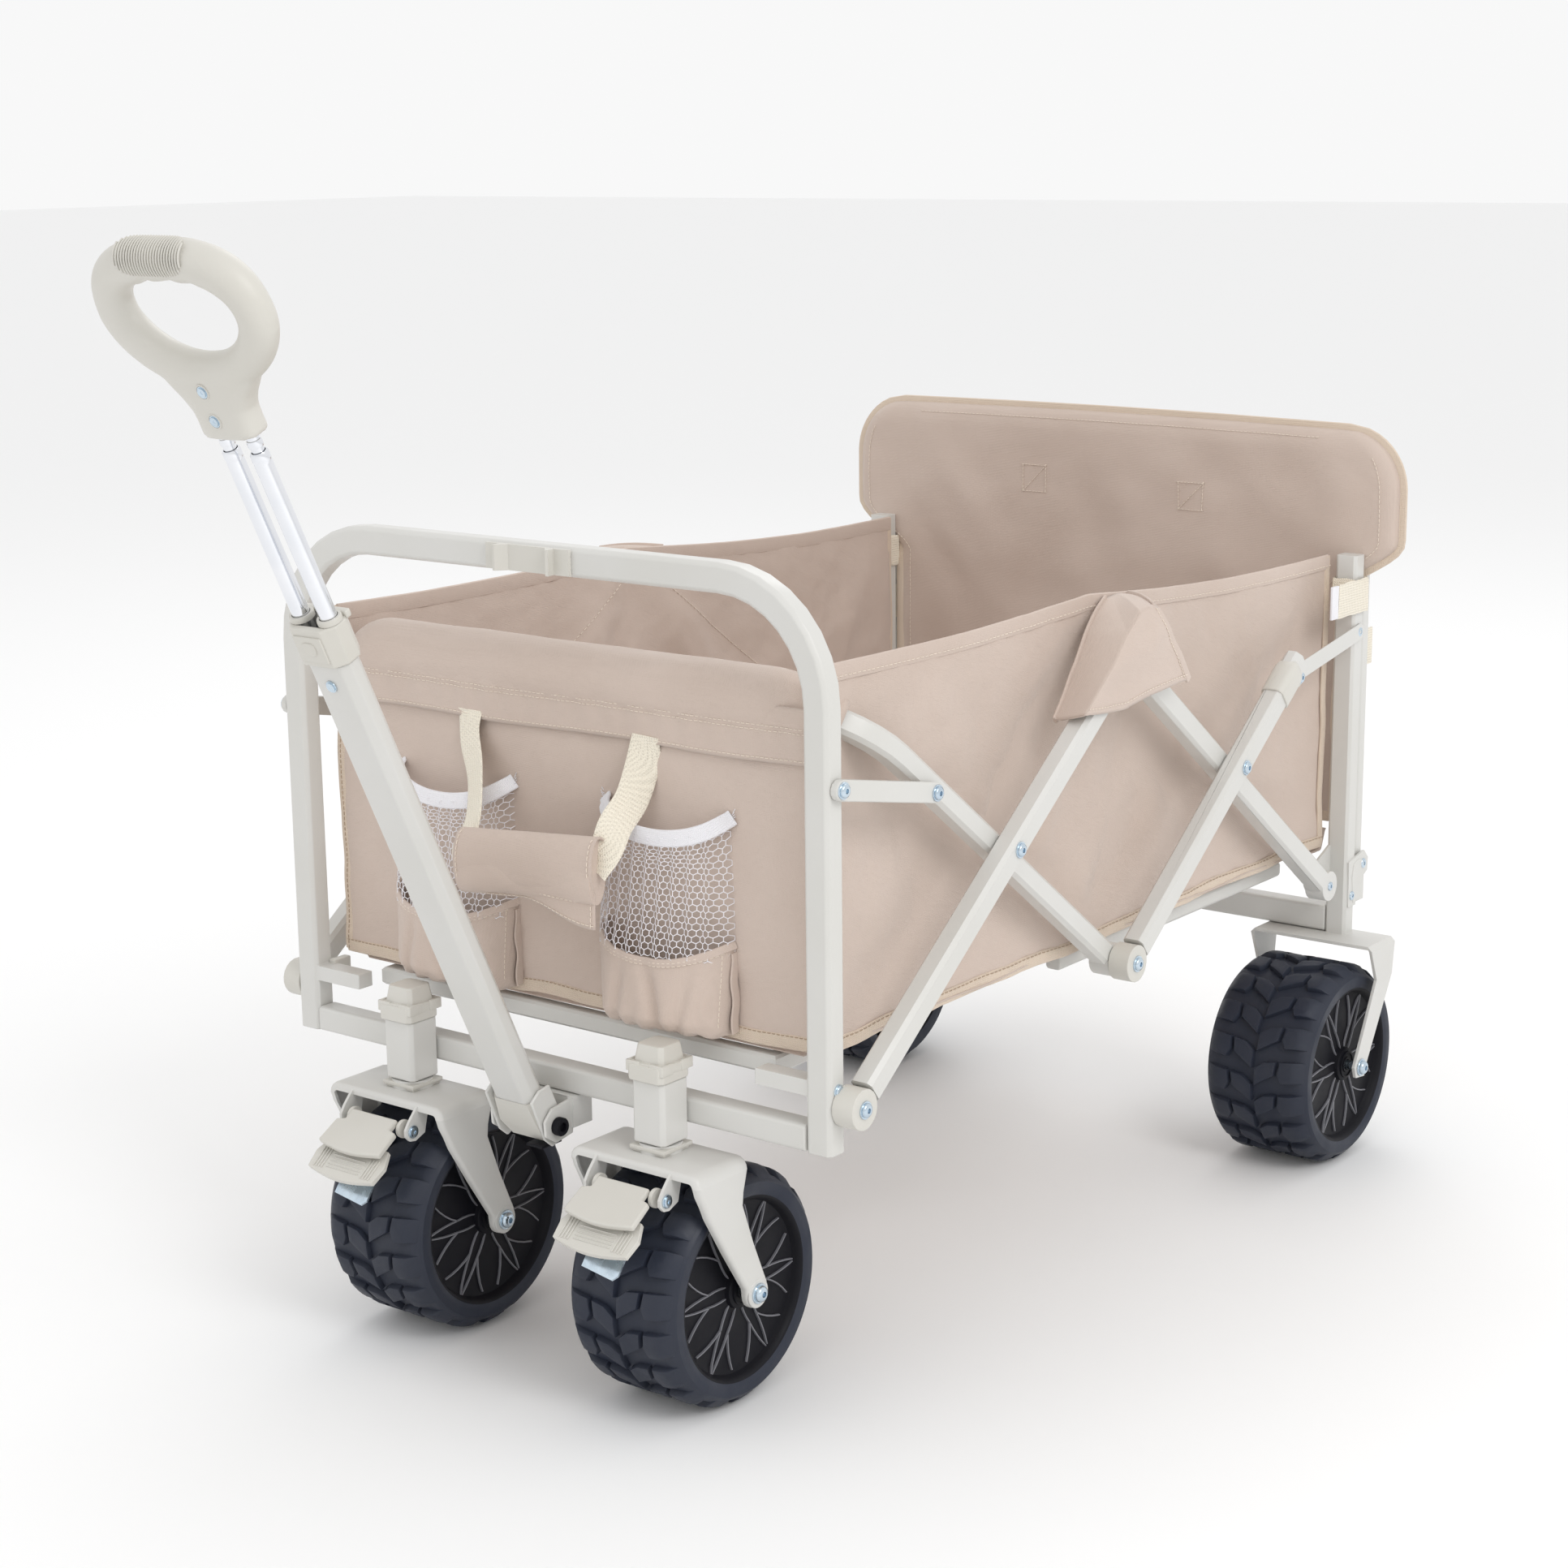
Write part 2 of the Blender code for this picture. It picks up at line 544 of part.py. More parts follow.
def bag():
    """Front panel, side panels, front roll, pockets and the carry handle."""
    bm = bmesh.new()
    box(bm, (-0.0300, -0.0270), (-BAG_Y + 0.0035, BAG_Y - 0.0035), (BAG_BOTTOM + 0.008, 0.484))
    pockets, hollows = [], []
    for y in POCKET_Y:
        outer = [(-0.0285, 0.060), (0.004, 0.050), (0.014, 0.020), (0.014, -0.020), (0.004, -0.050), (-0.0285, -0.060)]
        inner = [(-0.0268, 0.055), (0.002, 0.046), (0.011, 0.018), (0.011, -0.018), (0.002, -0.046), (-0.0268, -0.055)]
        pockets.append(shape(plate_xy, [(a, y + b) for a, b in outer], (0.290, 0.424)))
        hollows.append(shape(plate_xy, [(a, y + b) for a, b in inner], (0.294, 0.434)))
    node("bag_front", bm, "fabric", joins=pockets, cuts=hollows)

    for side, label in ((1, "left"), (-1, "right")):
        bm = bmesh.new()
        outline = [(-0.034, BAG_BOTTOM), (-0.034, 0.450), (-0.100, 0.450), (-0.100, 0.549),
                   (APEX.x, 0.557), (-0.772, 0.540), (-0.772, BAG_BOTTOM)]
        plate_xz(bm, outline, span(side, BAG_Y - BAG_T / 2, BAG_Y + BAG_T / 2))
        node(f"bag_side_{label}", bm, "fabric")

    bm = bmesh.new()
    reach = INNER_Y - 0.066
    rings = [(0.0255, -reach), (0.0255, reach), (0.0130, reach), (0.0130, -reach)]
    turned_y(bm, rings, HOOP_TOP, 20)
    node("bag_front_roll", bm, "fabric", CROSS_FRONT)

    straps = []
    for y in STRAP_Y:
        route = [(-0.0220, y, 0.480), (-0.0200, y, 0.462), (0.0190, y, 0.428), (0.0240, y, 0.4060)]
        straps.append(shape(sweep, route, rounded(0.0020, 0.024, 0.0004), (0, 1, 0)))
    pad = shape(sweep, [(0.0265, -0.082, 0.388), (0.0265, 0.082, 0.388)], rounded(0.046, 0.020, 0.006), (1, 0, 0))
    node("carry_handle", pad, "webbing", joins=straps)


def tailgate():
    bm = bmesh.new()
    x, y, top, corner = GATE_PIVOT.x, GATE_Y, GATE_TOP, 0.050
    place = lambda a, b: Vector((x, a, b))
    path = [place(-y, GATE_PIVOT.z - GATE_END)]
    path += arc((-y + corner, top - corner), corner, 180, 90, 6, place)
    path += arc((y - corner, top - corner), corner, 90, 0, 6, place)
    path.append(place(y, GATE_PIVOT.z - GATE_END))
    sweep(bm, path, rounded(GATE_TUBE, GATE_TUBE, 0.003), (1, 0, 0))
    node("gate_tube", bm, "cream_paint", GATE_PIVOT)

    # The cloth is stretched over the tube on its inner face, and hangs to the floor between the posts.
    bm = bmesh.new()
    x = (GATE_PIVOT.x + GATE_TUBE / 2 + GAP, GATE_PIVOT.x + GATE_TUBE / 2 + GAP + 0.0025)
    wide, low, high, neck, corner = 0.292, 0.545, 0.652, 0.240, 0.055
    point = lambda a, b: (a, b)
    outline = [(-neck, 0.292), (neck, 0.292), (neck, low)]
    outline += arc((wide - 0.028, low + 0.028), 0.028, -90, 0, 4, point)
    outline += arc((wide - corner, high - corner), corner, 0, 90, 6, point)
    outline += arc((-wide + corner, high - corner), corner, 90, 180, 6, point)
    outline += arc((-wide + 0.028, low + 0.028), 0.028, 180, 270, 4, point)
    outline += [(-neck, low)]
    plate_yz(bm, outline, x)
    node("gate_cloth", bm, "fabric", GATE_PIVOT)


HANDLE_DIR = Vector((math.sin(HANDLE_LEAN), 0, math.cos(HANDLE_LEAN)))
HANDLE_SIDE = Vector((math.cos(HANDLE_LEAN), 0, -math.sin(HANDLE_LEAN)))


def on_handle(s, y=0.0, forward=0.0):
    return HANDLE_PIVOT + HANDLE_DIR * s + Vector((0, y, 0)) + HANDLE_SIDE * forward


def handle_section(width, depth, chamfer):
    return [Vector((0, a, 0)) + HANDLE_SIDE * b for a, b in rounded(width, depth, chamfer)]


def handle():
    block = shape(box, (-0.018, 0.0035), (-0.030, 0.030), (0.190, FRAME_BOTTOM - GAP))
    ear = [(0.0010, 0.186), (0.020, 0.183), (0.031, 0.190), (0.032, 0.202), (0.024, 0.210), (0.0010, 0.2130)]
    ears = [shape(plate_xz, ear, span(side, 0.0252, 0.0276)) for side, _ in SIDES]
    bore = [(-0.040, 0.0043), (0.040, 0.0043)]
    node("handle_bracket", block, "cream_paint", joins=ears, cuts=[shape(shaft_y, HANDLE_PIVOT, bore)])

    head = [(-0.0330, 0.0065), (-0.0279, 0.0065), (-0.0279, 0.0040)]
    bolt = shape(shaft_y, HANDLE_PIVOT, head + [(-y, r) for y, r in head[::-1]])
    node("handle_pivot_bolt", bolt, "black_plastic", HANDLE_PIVOT)

    rings = [[on_handle(s) + p for p in handle_section(w, d, 0.004)]
             for s, w, d in ((-0.012, 0.040, 0.014), (0.004, 0.046, 0.022), (TUBE_S[0] - GAP, 0.040, 0.020))]
    lug = shape(loop_faces, rings)
    node("handle_lug", lug, "cream_plastic", HANDLE_PIVOT, cuts=[shape(shaft_y, HANDLE_PIVOT, bore)])

    tube = shape(hollow, on_handle(TUBE_S[0]), on_handle(TUBE_S[1]), handle_section(0.040, 0.020, 0.006),
                 handle_section(0.0372, 0.0172, 0.005))
    node("handle_tube", tube, "cream_paint", HANDLE_PIVOT)
    node("handle_collar", shape(collar), "cream_plastic", HANDLE_PIVOT)

    face = on_handle(0.431, 0, 0.0139)
    rings = [[face + HANDLE_SIDE * depth + Vector((0, a, 0)) + HANDLE_DIR * b
              for a, b in rounded(0.012, 0.010, 0.002)] for depth in (0, 0.0022)]
    node("handle_latch", shape(loop_faces, rings), "cream_plastic", face)

    def ring(radius):
        turns = [2 * math.pi * i / 14 for i in range(14)]
        return [Vector((0, radius * math.cos(t), 0)) + HANDLE_SIDE * (radius * math.sin(t)) for t in turns]

    start, end = LOWER_ROD_S
    rods = [shape(hollow, on_handle(start, y), on_handle(end, y), ring(0.0058), ring(0.0047))
            for y in (ROD_Y, -ROD_Y)]
    slider = shape(loop_faces, [[on_handle(s) + p for p in handle_section(0.0355, 0.0150, 0.005)]
                                for s in (start - 0.014, start + 0.003)])
    node("handle_lower_rods", slider, "chrome", on_handle(start), rods)
    grip()


def collar(bm):
    """Collar at the tube's end: a sleeve with an opening for the two rods."""
    outer = handle_section(0.044, 0.0272, 0.008)
    inner = handle_section(0.0376, 0.0150, 0.005)
    hollow(bm, on_handle(COLLAR_S[0]), on_handle(COLLAR_S[1]), outer, inner)


def grip():
    """D-shaped grip: a flared stem below a closed loop."""
    loop_low, loop_high = GRIP_S[0] + 0.042, GRIP_S[1] - GRIP_R
    middle = (loop_low + loop_high) / 2
    half_s, half_y = (loop_high - loop_low) / 2, GRIP_HALF - GRIP_R
    bm = bmesh.new()
    path = []
    steps = 28
    for i in range(steps):
        t = 2 * math.pi * i / steps
        c, s = math.cos(t), math.sin(t)
        power = 0.80 if s > 0 else 0.95
        width = half_y * (1 if s > 0 else 0.96)
        path.append(on_handle(middle + half_s * math.copysign(abs(s) ** power, s),
                              width * math.copysign(abs(c) ** power, c)))
    sweep(bm, path, circle_section(GRIP_R, 10), HANDLE_SIDE, closed=True)
    stem = bmesh.new()
    sizes = ((GRIP_S[0], 0.040, 0.022), (GRIP_S[0] + 0.018, 0.044, 0.024), (loop_low - 0.004, 0.058, 0.0235))
    loop_faces(stem, [[on_handle(s) + p for p in handle_section(w, d, 0.007)] for s, w, d in sizes])
    rods = [shape(rod, on_handle(UPPER_ROD_S[0], y), on_handle(UPPER_ROD_S[1], y), 0.0043, 12)
            for y in (ROD_Y, -ROD_Y)]
    node("grip", bm, "cream_plastic", on_handle(UPPER_ROD_S[0]), [stem, *rods])


def clip():
    """Clip on the top bar that holds the handle when it is stowed upright."""
    bm = bmesh.new()
    z = BAR_TOP - BAR_H / 2
    outline = [(GAP, -0.040), (0.0035, -0.040), (0.0035, -0.026), (0.0105, -0.0270), (0.0110, -0.0245), (0.0060, -0.020),
               (0.0035, -0.018), (0.0035, 0.018), (0.0060, 0.020), (0.0110, 0.0245), (0.0105, 0.0270), (0.0035, 0.026),
               (0.0035, 0.040), (GAP, 0.040)]
    plate_xy(bm, outline, (z - 0.0095, z + 0.0095))
    node("handle_clip", bm, "cream_plastic")


def clear_scene():
    for obj in list(bpy.data.objects):
        bpy.data.objects.remove(obj)


clear_scene()
front_frame()
castor_sleeves()
for castor_side, castor_label in SIDES:
    castor(castor_side, castor_label)
scissor_arms()
struts()
rear_frame()
bed()
bag()
tailgate()
handle()
clip()
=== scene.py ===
"""Looks of the folding beach cart: sewn bag, treaded wheels, grip, fittings, finishes, light and camera.

Metres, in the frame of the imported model. Positions are measured from the front face of the front uprights.
"""

import json
import math

import bmesh
import bpy
from mathutils import Matrix, Vector, noise


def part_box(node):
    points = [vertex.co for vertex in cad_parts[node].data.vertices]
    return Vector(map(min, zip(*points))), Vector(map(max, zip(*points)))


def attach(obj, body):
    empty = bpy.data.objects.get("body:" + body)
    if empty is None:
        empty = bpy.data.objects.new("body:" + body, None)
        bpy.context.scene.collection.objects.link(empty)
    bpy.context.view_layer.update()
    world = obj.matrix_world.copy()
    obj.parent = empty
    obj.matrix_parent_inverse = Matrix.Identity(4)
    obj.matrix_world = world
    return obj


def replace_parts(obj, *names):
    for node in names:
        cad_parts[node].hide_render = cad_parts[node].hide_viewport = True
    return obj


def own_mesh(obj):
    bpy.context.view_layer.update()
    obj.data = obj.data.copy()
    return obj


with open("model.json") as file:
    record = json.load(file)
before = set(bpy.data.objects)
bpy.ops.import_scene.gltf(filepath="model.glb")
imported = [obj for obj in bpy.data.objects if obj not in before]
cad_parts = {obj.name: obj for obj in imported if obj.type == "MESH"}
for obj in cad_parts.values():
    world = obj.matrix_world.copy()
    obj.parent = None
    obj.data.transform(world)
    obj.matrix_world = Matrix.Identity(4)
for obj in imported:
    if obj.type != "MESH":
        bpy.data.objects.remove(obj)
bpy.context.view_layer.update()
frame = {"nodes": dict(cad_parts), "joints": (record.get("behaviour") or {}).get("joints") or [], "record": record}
NODES = frame["nodes"]
JOINTS = {joint["name"]: Vector(joint.get("pos_m") or (0, 0, 0)) for joint in frame["joints"]}
SIDES = ((1, "left"), (-1, "right"))

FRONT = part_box("front_hoop")[1].x
POCKET_Y = 0.104


def at(x, y, z):
    """A point given from the front face of the uprights, the middle plane and the ground."""
    return Vector((FRONT + x, y, z))


def smooth(t):
    t = min(1.0, max(0.0, t))
    return t * t * (3 - 2 * t)


def mix(a, b, t):
    return a + (b - a) * t


def ripple(point, scale, seed):
    return noise.noise(point * scale + Vector((seed, 2.3 * seed, -seed)))


# ---------------------------------------------------------------- finishes

class Finish:
    """A procedural material built on one Principled shader."""

    def __init__(self, name, colour, roughness, metallic=0.0, **sockets):
        self.material = bpy.data.materials.new(name)
        self.material.use_nodes = True
        self.nodes = self.material.node_tree.nodes
        self.links = self.material.node_tree.links
        self.shader = self.nodes["Principled BSDF"]
        self.colour = colour
        self.set("Base Color", (*colour, 1.0))
        self.set("Roughness", roughness)
        self.set("Metallic", metallic)
        for socket, value in sockets.items():
            self.set(socket.replace("_", " "), value)
        self.where = self.nodes.new("ShaderNodeTexCoord").outputs["Object"]
        self.height = None

    def set(self, socket, value):
        self.shader.inputs[socket].default_value = value

    def node(self, kind, **values):
        made = self.nodes.new(kind)
        for key, value in values.items():
            setattr(made, key, value)
        return made

    def math(self, operation, a, b=0.0):
        made = self.node("ShaderNodeMath", operation=operation)
        for i, value in enumerate((a, b)):
            if isinstance(value, (int, float)):
                made.inputs[i].default_value = value
            else:
                self.links.new(value, made.inputs[i])
        return made.outputs[0]

    def noise(self, scale, detail=3.0, stretch=(1, 1, 1)):
        mapping = self.node("ShaderNodeMapping")
        mapping.inputs["Scale"].default_value = stretch
        self.links.new(self.where, mapping.inputs["Vector"])
        made = self.node("ShaderNodeTexNoise")
        made.inputs["Scale"].default_value = scale
        made.inputs["Detail"].default_value = detail
        self.links.new(mapping.outputs[0], made.inputs["Vector"])
        return made.outputs["Fac"]

    def ramp(self, factor, low, high, start=0.35, end=0.65):
        made = self.node("ShaderNodeMapRange")
        for key, value in (("From Min", start), ("From Max", end), ("To Min", low), ("To Max", high)):
            made.inputs[key].default_value = value
        self.links.new(factor, made.inputs["Value"])
        return made.outputs["Result"]

    def tint(self, factor, other, amount=1.0):
        """Mixes the base colour towards another by a factor."""
        made = self.node("ShaderNodeMix", data_type="RGBA")
        made.inputs[6].default_value = (*self.colour, 1.0)
        made.inputs[7].default_value = (*other, 1.0)
        self.links.new(self.math("MULTIPLY", factor, amount), made.inputs[0])
        self.links.new(made.outputs[2], self.shader.inputs["Base Color"])
        return self

    def rough(self, factor, low, high):
        self.links.new(self.ramp(factor, low, high), self.shader.inputs["Roughness"])
        return self

    def bump(self, height, strength, distance):
        made = self.node("ShaderNodeBump")
        made.inputs["Strength"].default_value = strength
        made.inputs["Distance"].default_value = distance
        self.links.new(height, made.inputs["Height"])
        if self.height is not None:
            self.links.new(self.height, made.inputs["Normal"])
        self.height = made.outputs["Normal"]
        self.links.new(self.height, self.shader.inputs["Normal"])
        return self

    def weave(self, pitch):
        """Over-and-under threads, the same on every plane because it is worked out from the place itself."""
        split = self.node("ShaderNodeSeparateXYZ")
        self.links.new(self.where, split.inputs[0])
        turn = 2 * math.pi / pitch
        waves = [self.math("SINE", self.math("MULTIPLY", split.outputs[i], turn)) for i in range(3)]
        pairs = [self.math("MULTIPLY", waves[i], waves[j]) for i, j in ((0, 1), (1, 2), (0, 2))]
        return self.math("ADD", self.math("ADD", pairs[0], pairs[1]), pairs[2])


def cloth_finish(name, colour, shade, pitch, strength, sheen=0.25):
    made = Finish(name, colour, 0.88, Sheen_Weight=sheen, Sheen_Roughness=0.45, Specular_IOR_Level=0.25)
    made.tint(made.ramp(made.noise(7.0, 5.0), 0.0, 1.0), shade, 0.55)
    made.bump(made.noise(90.0, 4.0), 0.10, 0.002)
    made.bump(made.weave(pitch), strength, 0.00025)
    return made.material


def paint_finish(name, colour, shade, roughness, grain, specular=0.5, coat=0.12):
    """Powder coat or moulded plastic: a fine orange peel, and slightly warmer where dust settles."""
    made = Finish(name, colour, roughness, Specular_IOR_Level=specular, Coat_Weight=coat, Coat_Roughness=0.25)
    made.tint(made.ramp(made.noise(9.0, 4.0), 0.0, 1.0), shade, 0.45)
    made.rough(made.noise(35.0, 3.0), roughness - 0.05, roughness + 0.08)
    made.bump(made.noise(grain, 2.0), 0.10, 0.0004)
    return made.material


def rubber_finish():
    made = Finish("tyre_rubber", (0.022, 0.027, 0.044), 0.52, Specular_IOR_Level=0.32)
    made.tint(made.ramp(made.noise(14.0, 6.0), 0.0, 1.0), (0.030, 0.034, 0.048), 0.8)
    made.rough(made.noise(26.0, 5.0), 0.40, 0.66)
    made.bump(made.noise(420.0, 3.0), 0.18, 0.0004)
    return made.material


def metal_finish(name, colour, shade, roughness, stretch=(1, 1, 1)):
    made = Finish(name, colour, roughness, 1.0)
    made.tint(made.ramp(made.noise(45.0, 4.0), 0.0, 1.0), shade, 0.7)
    made.rough(made.noise(160.0, 3.0, stretch), max(0.04, roughness - 0.06), roughness + 0.10)
    made.bump(made.noise(300.0, 2.0, stretch), 0.05, 0.0002)
    return made.material


PAINT = paint_finish("cream_powder_coat", (0.650, 0.643, 0.618), (0.600, 0.590, 0.550), 0.34, 520.0)
PLASTIC = paint_finish("cream_moulding", (0.630, 0.612, 0.565), (0.58, 0.56, 0.50), 0.42, 900.0)
FABRIC = cloth_finish("bag_cloth", (0.620, 0.515, 0.450), (0.545, 0.440, 0.375), 0.0011, 0.35)
BINDING = cloth_finish("binding_tape", (0.700, 0.585, 0.475), (0.640, 0.520, 0.410), 0.0016, 0.55)
WEBBING = cloth_finish("cream_webbing", (0.880, 0.820, 0.700), (0.840, 0.770, 0.630), 0.0022, 0.80)
ELASTIC = cloth_finish("white_elastic", (0.860, 0.850, 0.880), (0.80, 0.79, 0.83), 0.0013, 0.50)
NET = cloth_finish("white_net", (0.930, 0.910, 0.940), (0.88, 0.85, 0.88), 0.0009, 0.30)
THREAD = cloth_finish("sewing_thread", (0.810, 0.720, 0.620), (0.75, 0.65, 0.55), 0.0008, 0.20)
THREAD_DARK = cloth_finish("binding_thread", (0.400, 0.290, 0.200), (0.340, 0.240, 0.160), 0.0008, 0.20)
RUBBER = rubber_finish()
# The ribs are moulded in the rim's own black plastic; this grey is painted highlight, standing in for light
# catching their ridges.
RIB_PAINTED_HIGHLIGHT = paint_finish("rim_rib_painted_highlight", (0.170, 0.170, 0.190), (0.220, 0.220, 0.240), 0.34, 700.0)
BLACK = paint_finish("black_moulding", (0.004, 0.004, 0.007), (0.007, 0.007, 0.011), 0.55, 700.0, 0.22, 0.0)
CHROME = metal_finish("chrome_plate", (0.84, 0.85, 0.88), (0.78, 0.80, 0.84), 0.08, (1, 1, 0.1))
ZINC = metal_finish("zinc_plate", (0.60, 0.70, 0.78), (0.50, 0.60, 0.70), 0.22)


# ---------------------------------------------------------------- mesh building

def build(name, verts, faces, finish, body, slot=None, angle=40, keep_normals=False):
    mesh = bpy.data.meshes.new(name)
    mesh.from_pydata([tuple(v) for v in verts], [], faces)
    mesh.validate()
    work = bmesh.new()
    work.from_mesh(mesh)
    bmesh.ops.remove_doubles(work, verts=work.verts, dist=1e-6)
    if not keep_normals:
        bmesh.ops.recalc_face_normals(work, faces=work.faces)
    work.to_mesh(mesh)
    work.free()
    mesh.materials.append(finish)
    mesh.shade_smooth()
    if angle:
        mesh.set_sharp_from_angle(angle=math.radians(angle))
    made = bpy.data.objects.new(name, mesh)
    bpy.context.collection.objects.link(made)
    if body:
        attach(made, body)
    return made


def modifier(obj, kind, **values):
    made = obj.modifiers.new(kind.lower(), kind)
    for key, value in values.items():
        setattr(made, key, value)
    return made


def grid(point, across, up, wrap=False):
    """Vertices and quads of point(u, v) for u and v from 0 to 1. wrap joins the last column to the first."""
    columns = across if wrap else across + 1
    verts = [point(i / across, j / up) for j in range(up + 1) for i in range(columns)]
    faces = []
    for j in range(up):
        for i in range(across):
            a, b = j * columns + i, j * columns + (i + 1) % columns
            faces.append((a, b, b + columns, a + columns))
    return verts, faces


def sheet_of(name, point, across, up, finish, body, slot="fabric", thickness=0.0012, wrap=False):
    verts, faces = grid(point, across, up, wrap)
    made = build(name, verts, faces, finish, body, slot, angle=0, keep_normals=True)
    modifier(made, "SOLIDIFY", thickness=thickness, offset=0.0)
    return made


def frames_along(path, normals=None):
    """(tangent, normal, side) at each point of a path. normals is one vector, or one for each point."""
    found = []
    last = None
    for i in range(len(path)):
        tangent = (path[min(i + 1, len(path) - 1)] - path[max(i - 1, 0)]).normalized()
        if normals is not None:
            normal = normals if isinstance(normals, Vector) else normals[i]
        else:
            normal = last if last is not None else tangent.orthogonal()
        last = normal = (normal - tangent * normal.dot(tangent)).normalized()
        found.append((tangent, normal, tangent.cross(normal)))
    return found


def loft(rings, closed=False, caps=True):
    """Vertices and faces of a skin over rings of one size. closed joins the last ring to the first."""
    size, count = len(rings[0]), len(rings)
    verts, faces = [point for ring in rings for point in ring], []
    for i in range(count if closed else count - 1):
        for j in range(size):
            a, b, c = i * size + j, i * size + (j + 1) % size, ((i + 1) % count) * size
            faces.append((a, b, c + (j + 1) % size, c + j))
    if caps and not closed:
        faces += [tuple(range(size))[::-1], tuple(range((count - 1) * size, count * size))]
    return verts, faces


def swept(path, section, normals=None):
    """A section swept along a path. section is a list of (side, normal), or a function of share."""
    rings = []
    for i, (point, (_, normal, side)) in enumerate(zip(path, frames_along(path, normals))):
        ring = section(i / (len(path) - 1)) if callable(section) else section
        rings.append([point + side * a + normal * b for a, b in ring])
    return loft(rings)


def oval(half_w, half_h, steps=12, power=1.0):
    turns = [2 * math.pi * i / steps for i in range(steps)]
    return [(half_w * math.copysign(abs(math.cos(t)) ** power, math.cos(t)),
             half_h * math.copysign(abs(math.sin(t)) ** power, math.sin(t))) for t in turns]


def turned(centre, axis, profile, steps=24):
    """A profile of (radius, height) turned round an axis through centre, closed where the radius is 0."""
    axis = Vector(axis).normalized()
    u = axis.orthogonal().normalized()
    v = axis.cross(u)
    verts, faces, rings = [], [], []
    for radius, height in profile:
        middle = centre + axis * height
        if radius < 1e-7:
            rings.append([len(verts)] * steps)
            verts.append(middle)
            continue
        rings.append(list(range(len(verts), len(verts) + steps)))
        for i in range(steps):
            t = 2 * math.pi * i / steps
            verts.append(middle + u * (radius * math.cos(t)) + v * (radius * math.sin(t)))
    for low, high in zip(rings, rings[1:]):
        for i in range(steps):
            j = (i + 1) % steps
            corners = (low[i], low[j], high[j], high[i])
            faces.append(tuple(dict.fromkeys(corners)))
    return verts, faces


def rod(centre, axis, radius, low, high, steps=24):
    return turned(centre, axis, [(0.0, low), (radius, low), (radius, high), (0.0, high)], steps)


def prism(outline, place, thickness):
    """A flat plate from an outline (across, down), lifted by its thickness. place(a, b, h) puts a point."""
    count = len(outline)
    verts = [place(a, b, 0.0) for a, b in outline] + [place(a, b, thickness) for a, b in outline]
    faces = [tuple(range(count))[::-1], tuple(range(count, 2 * count))]
    faces += [(i, (i + 1) % count, count + (i + 1) % count, count + i) for i in range(count)]
    return verts, faces


class Batch:
    """Several closed shapes gathered into one piece."""

    def __init__(self):
        self.verts, self.faces = [], []

    def add(self, shape):
        verts, faces = shape
        base = len(self.verts)
        self.verts += verts
        self.faces += [tuple(base + i for i in face) for face in faces]
        return self

    def piece(self, name, finish, body, slot=None, angle=40):
        return build(name, self.verts, self.faces, finish, body, slot, angle)


def block(centre, size, turn=None, chamfer=0.001):
    """A block with cut corners, turned by a rotation matrix."""
    work = bmesh.new()
    bmesh.ops.create_cube(work, size=1.0)
    bmesh.ops.scale(work, vec=Vector(size), verts=work.verts)
    bmesh.ops.bevel(work, geom=list(work.edges), offset=chamfer, segments=3, affect="EDGES", profile=0.5)
    verts = [centre + (turn @ v.co if turn else v.co) for v in work.verts]
    work.verts.index_update()
    faces = [tuple(v.index for v in f.verts) for f in work.faces]
    work.free()
    return verts, faces


def line_on(point, count, u=None, v=None, span=(0, 1), lift=Vector((0, 0, 0))):
    """Points down one line of a sheet: across it when v is given, and up it when u is given."""
    shares = [mix(*span, i / count) for i in range(count + 1)]
    return [(point(u, share) if v is None else point(share, v)) + lift for share in shares]


def stitches(batch, path, normal, pitch=0.0042, length=0.0028, radius=0.00035):
    """Short raised threads along a path."""
    gone = 0.0
    for start, end in zip(path, path[1:]):
        along = (end - start).normalized()
        run = (end - start).length
        while gone < run:
            a = start + along * gone
            b = a + along * length
            up = normal * radius
            batch.add(swept([a, a + (b - a) * 0.2 + up, a + (b - a) * 0.8 + up, b], oval(radius, radius, 5)))
            gone += pitch
        gone -= run


def bevel(obj, width, segments=2, angle=40):
    modifier(obj, "BEVEL", width=width, segments=segments, limit_method="ANGLE",
             angle_limit=math.radians(angle))


def hide_edges(obj, width):
    """Rounds the edges of a carried-over CAD node."""
    modifier(obj, "WELD", merge_threshold=0.00001)
    bevel(obj, width, angle=28)
    modifier(obj, "WEIGHTED_NORMAL", keep_sharp=False)


def paint_nodes():
    finishes = {"cream_paint": PAINT, "cream_plastic": PLASTIC, "chrome": CHROME, "zinc": ZINC,
                "tyre": RUBBER, "rim": BLACK, "black_plastic": BLACK, "fabric": FABRIC, "webbing": WEBBING}
    slots = {part["node"]: part["material_slot"] for part in frame["record"]["subparts"]}
    for name, obj in NODES.items():
        obj.data.materials.clear()
        obj.data.materials.append(finishes[slots[name]])
        if slots[name] in ("cream_paint", "cream_plastic"):
            hide_edges(obj, 0.0011 if "fork" in name or "post" in name else 0.0014)


paint_nodes()


# ---------------------------------------------------------------- wheels

WHEEL_R, TYRE_HALF, RIM_R = 0.090, 0.0495, 0.0715
PITCHES = 18
TREAD_DEPTH = 0.0050


def crown(y):
    """Outer radius of the tread across the tyre."""
    y = abs(y)
    if y < 0.0360:
        return WHEEL_R
    return WHEEL_R - 0.0105 * ((y - 0.0360) / (TYRE_HALF - 0.0360)) ** 1.6


def on_tyre(centre, angle, y, r):
    return centre + Vector((r * math.cos(angle), y, r * math.sin(angle)))


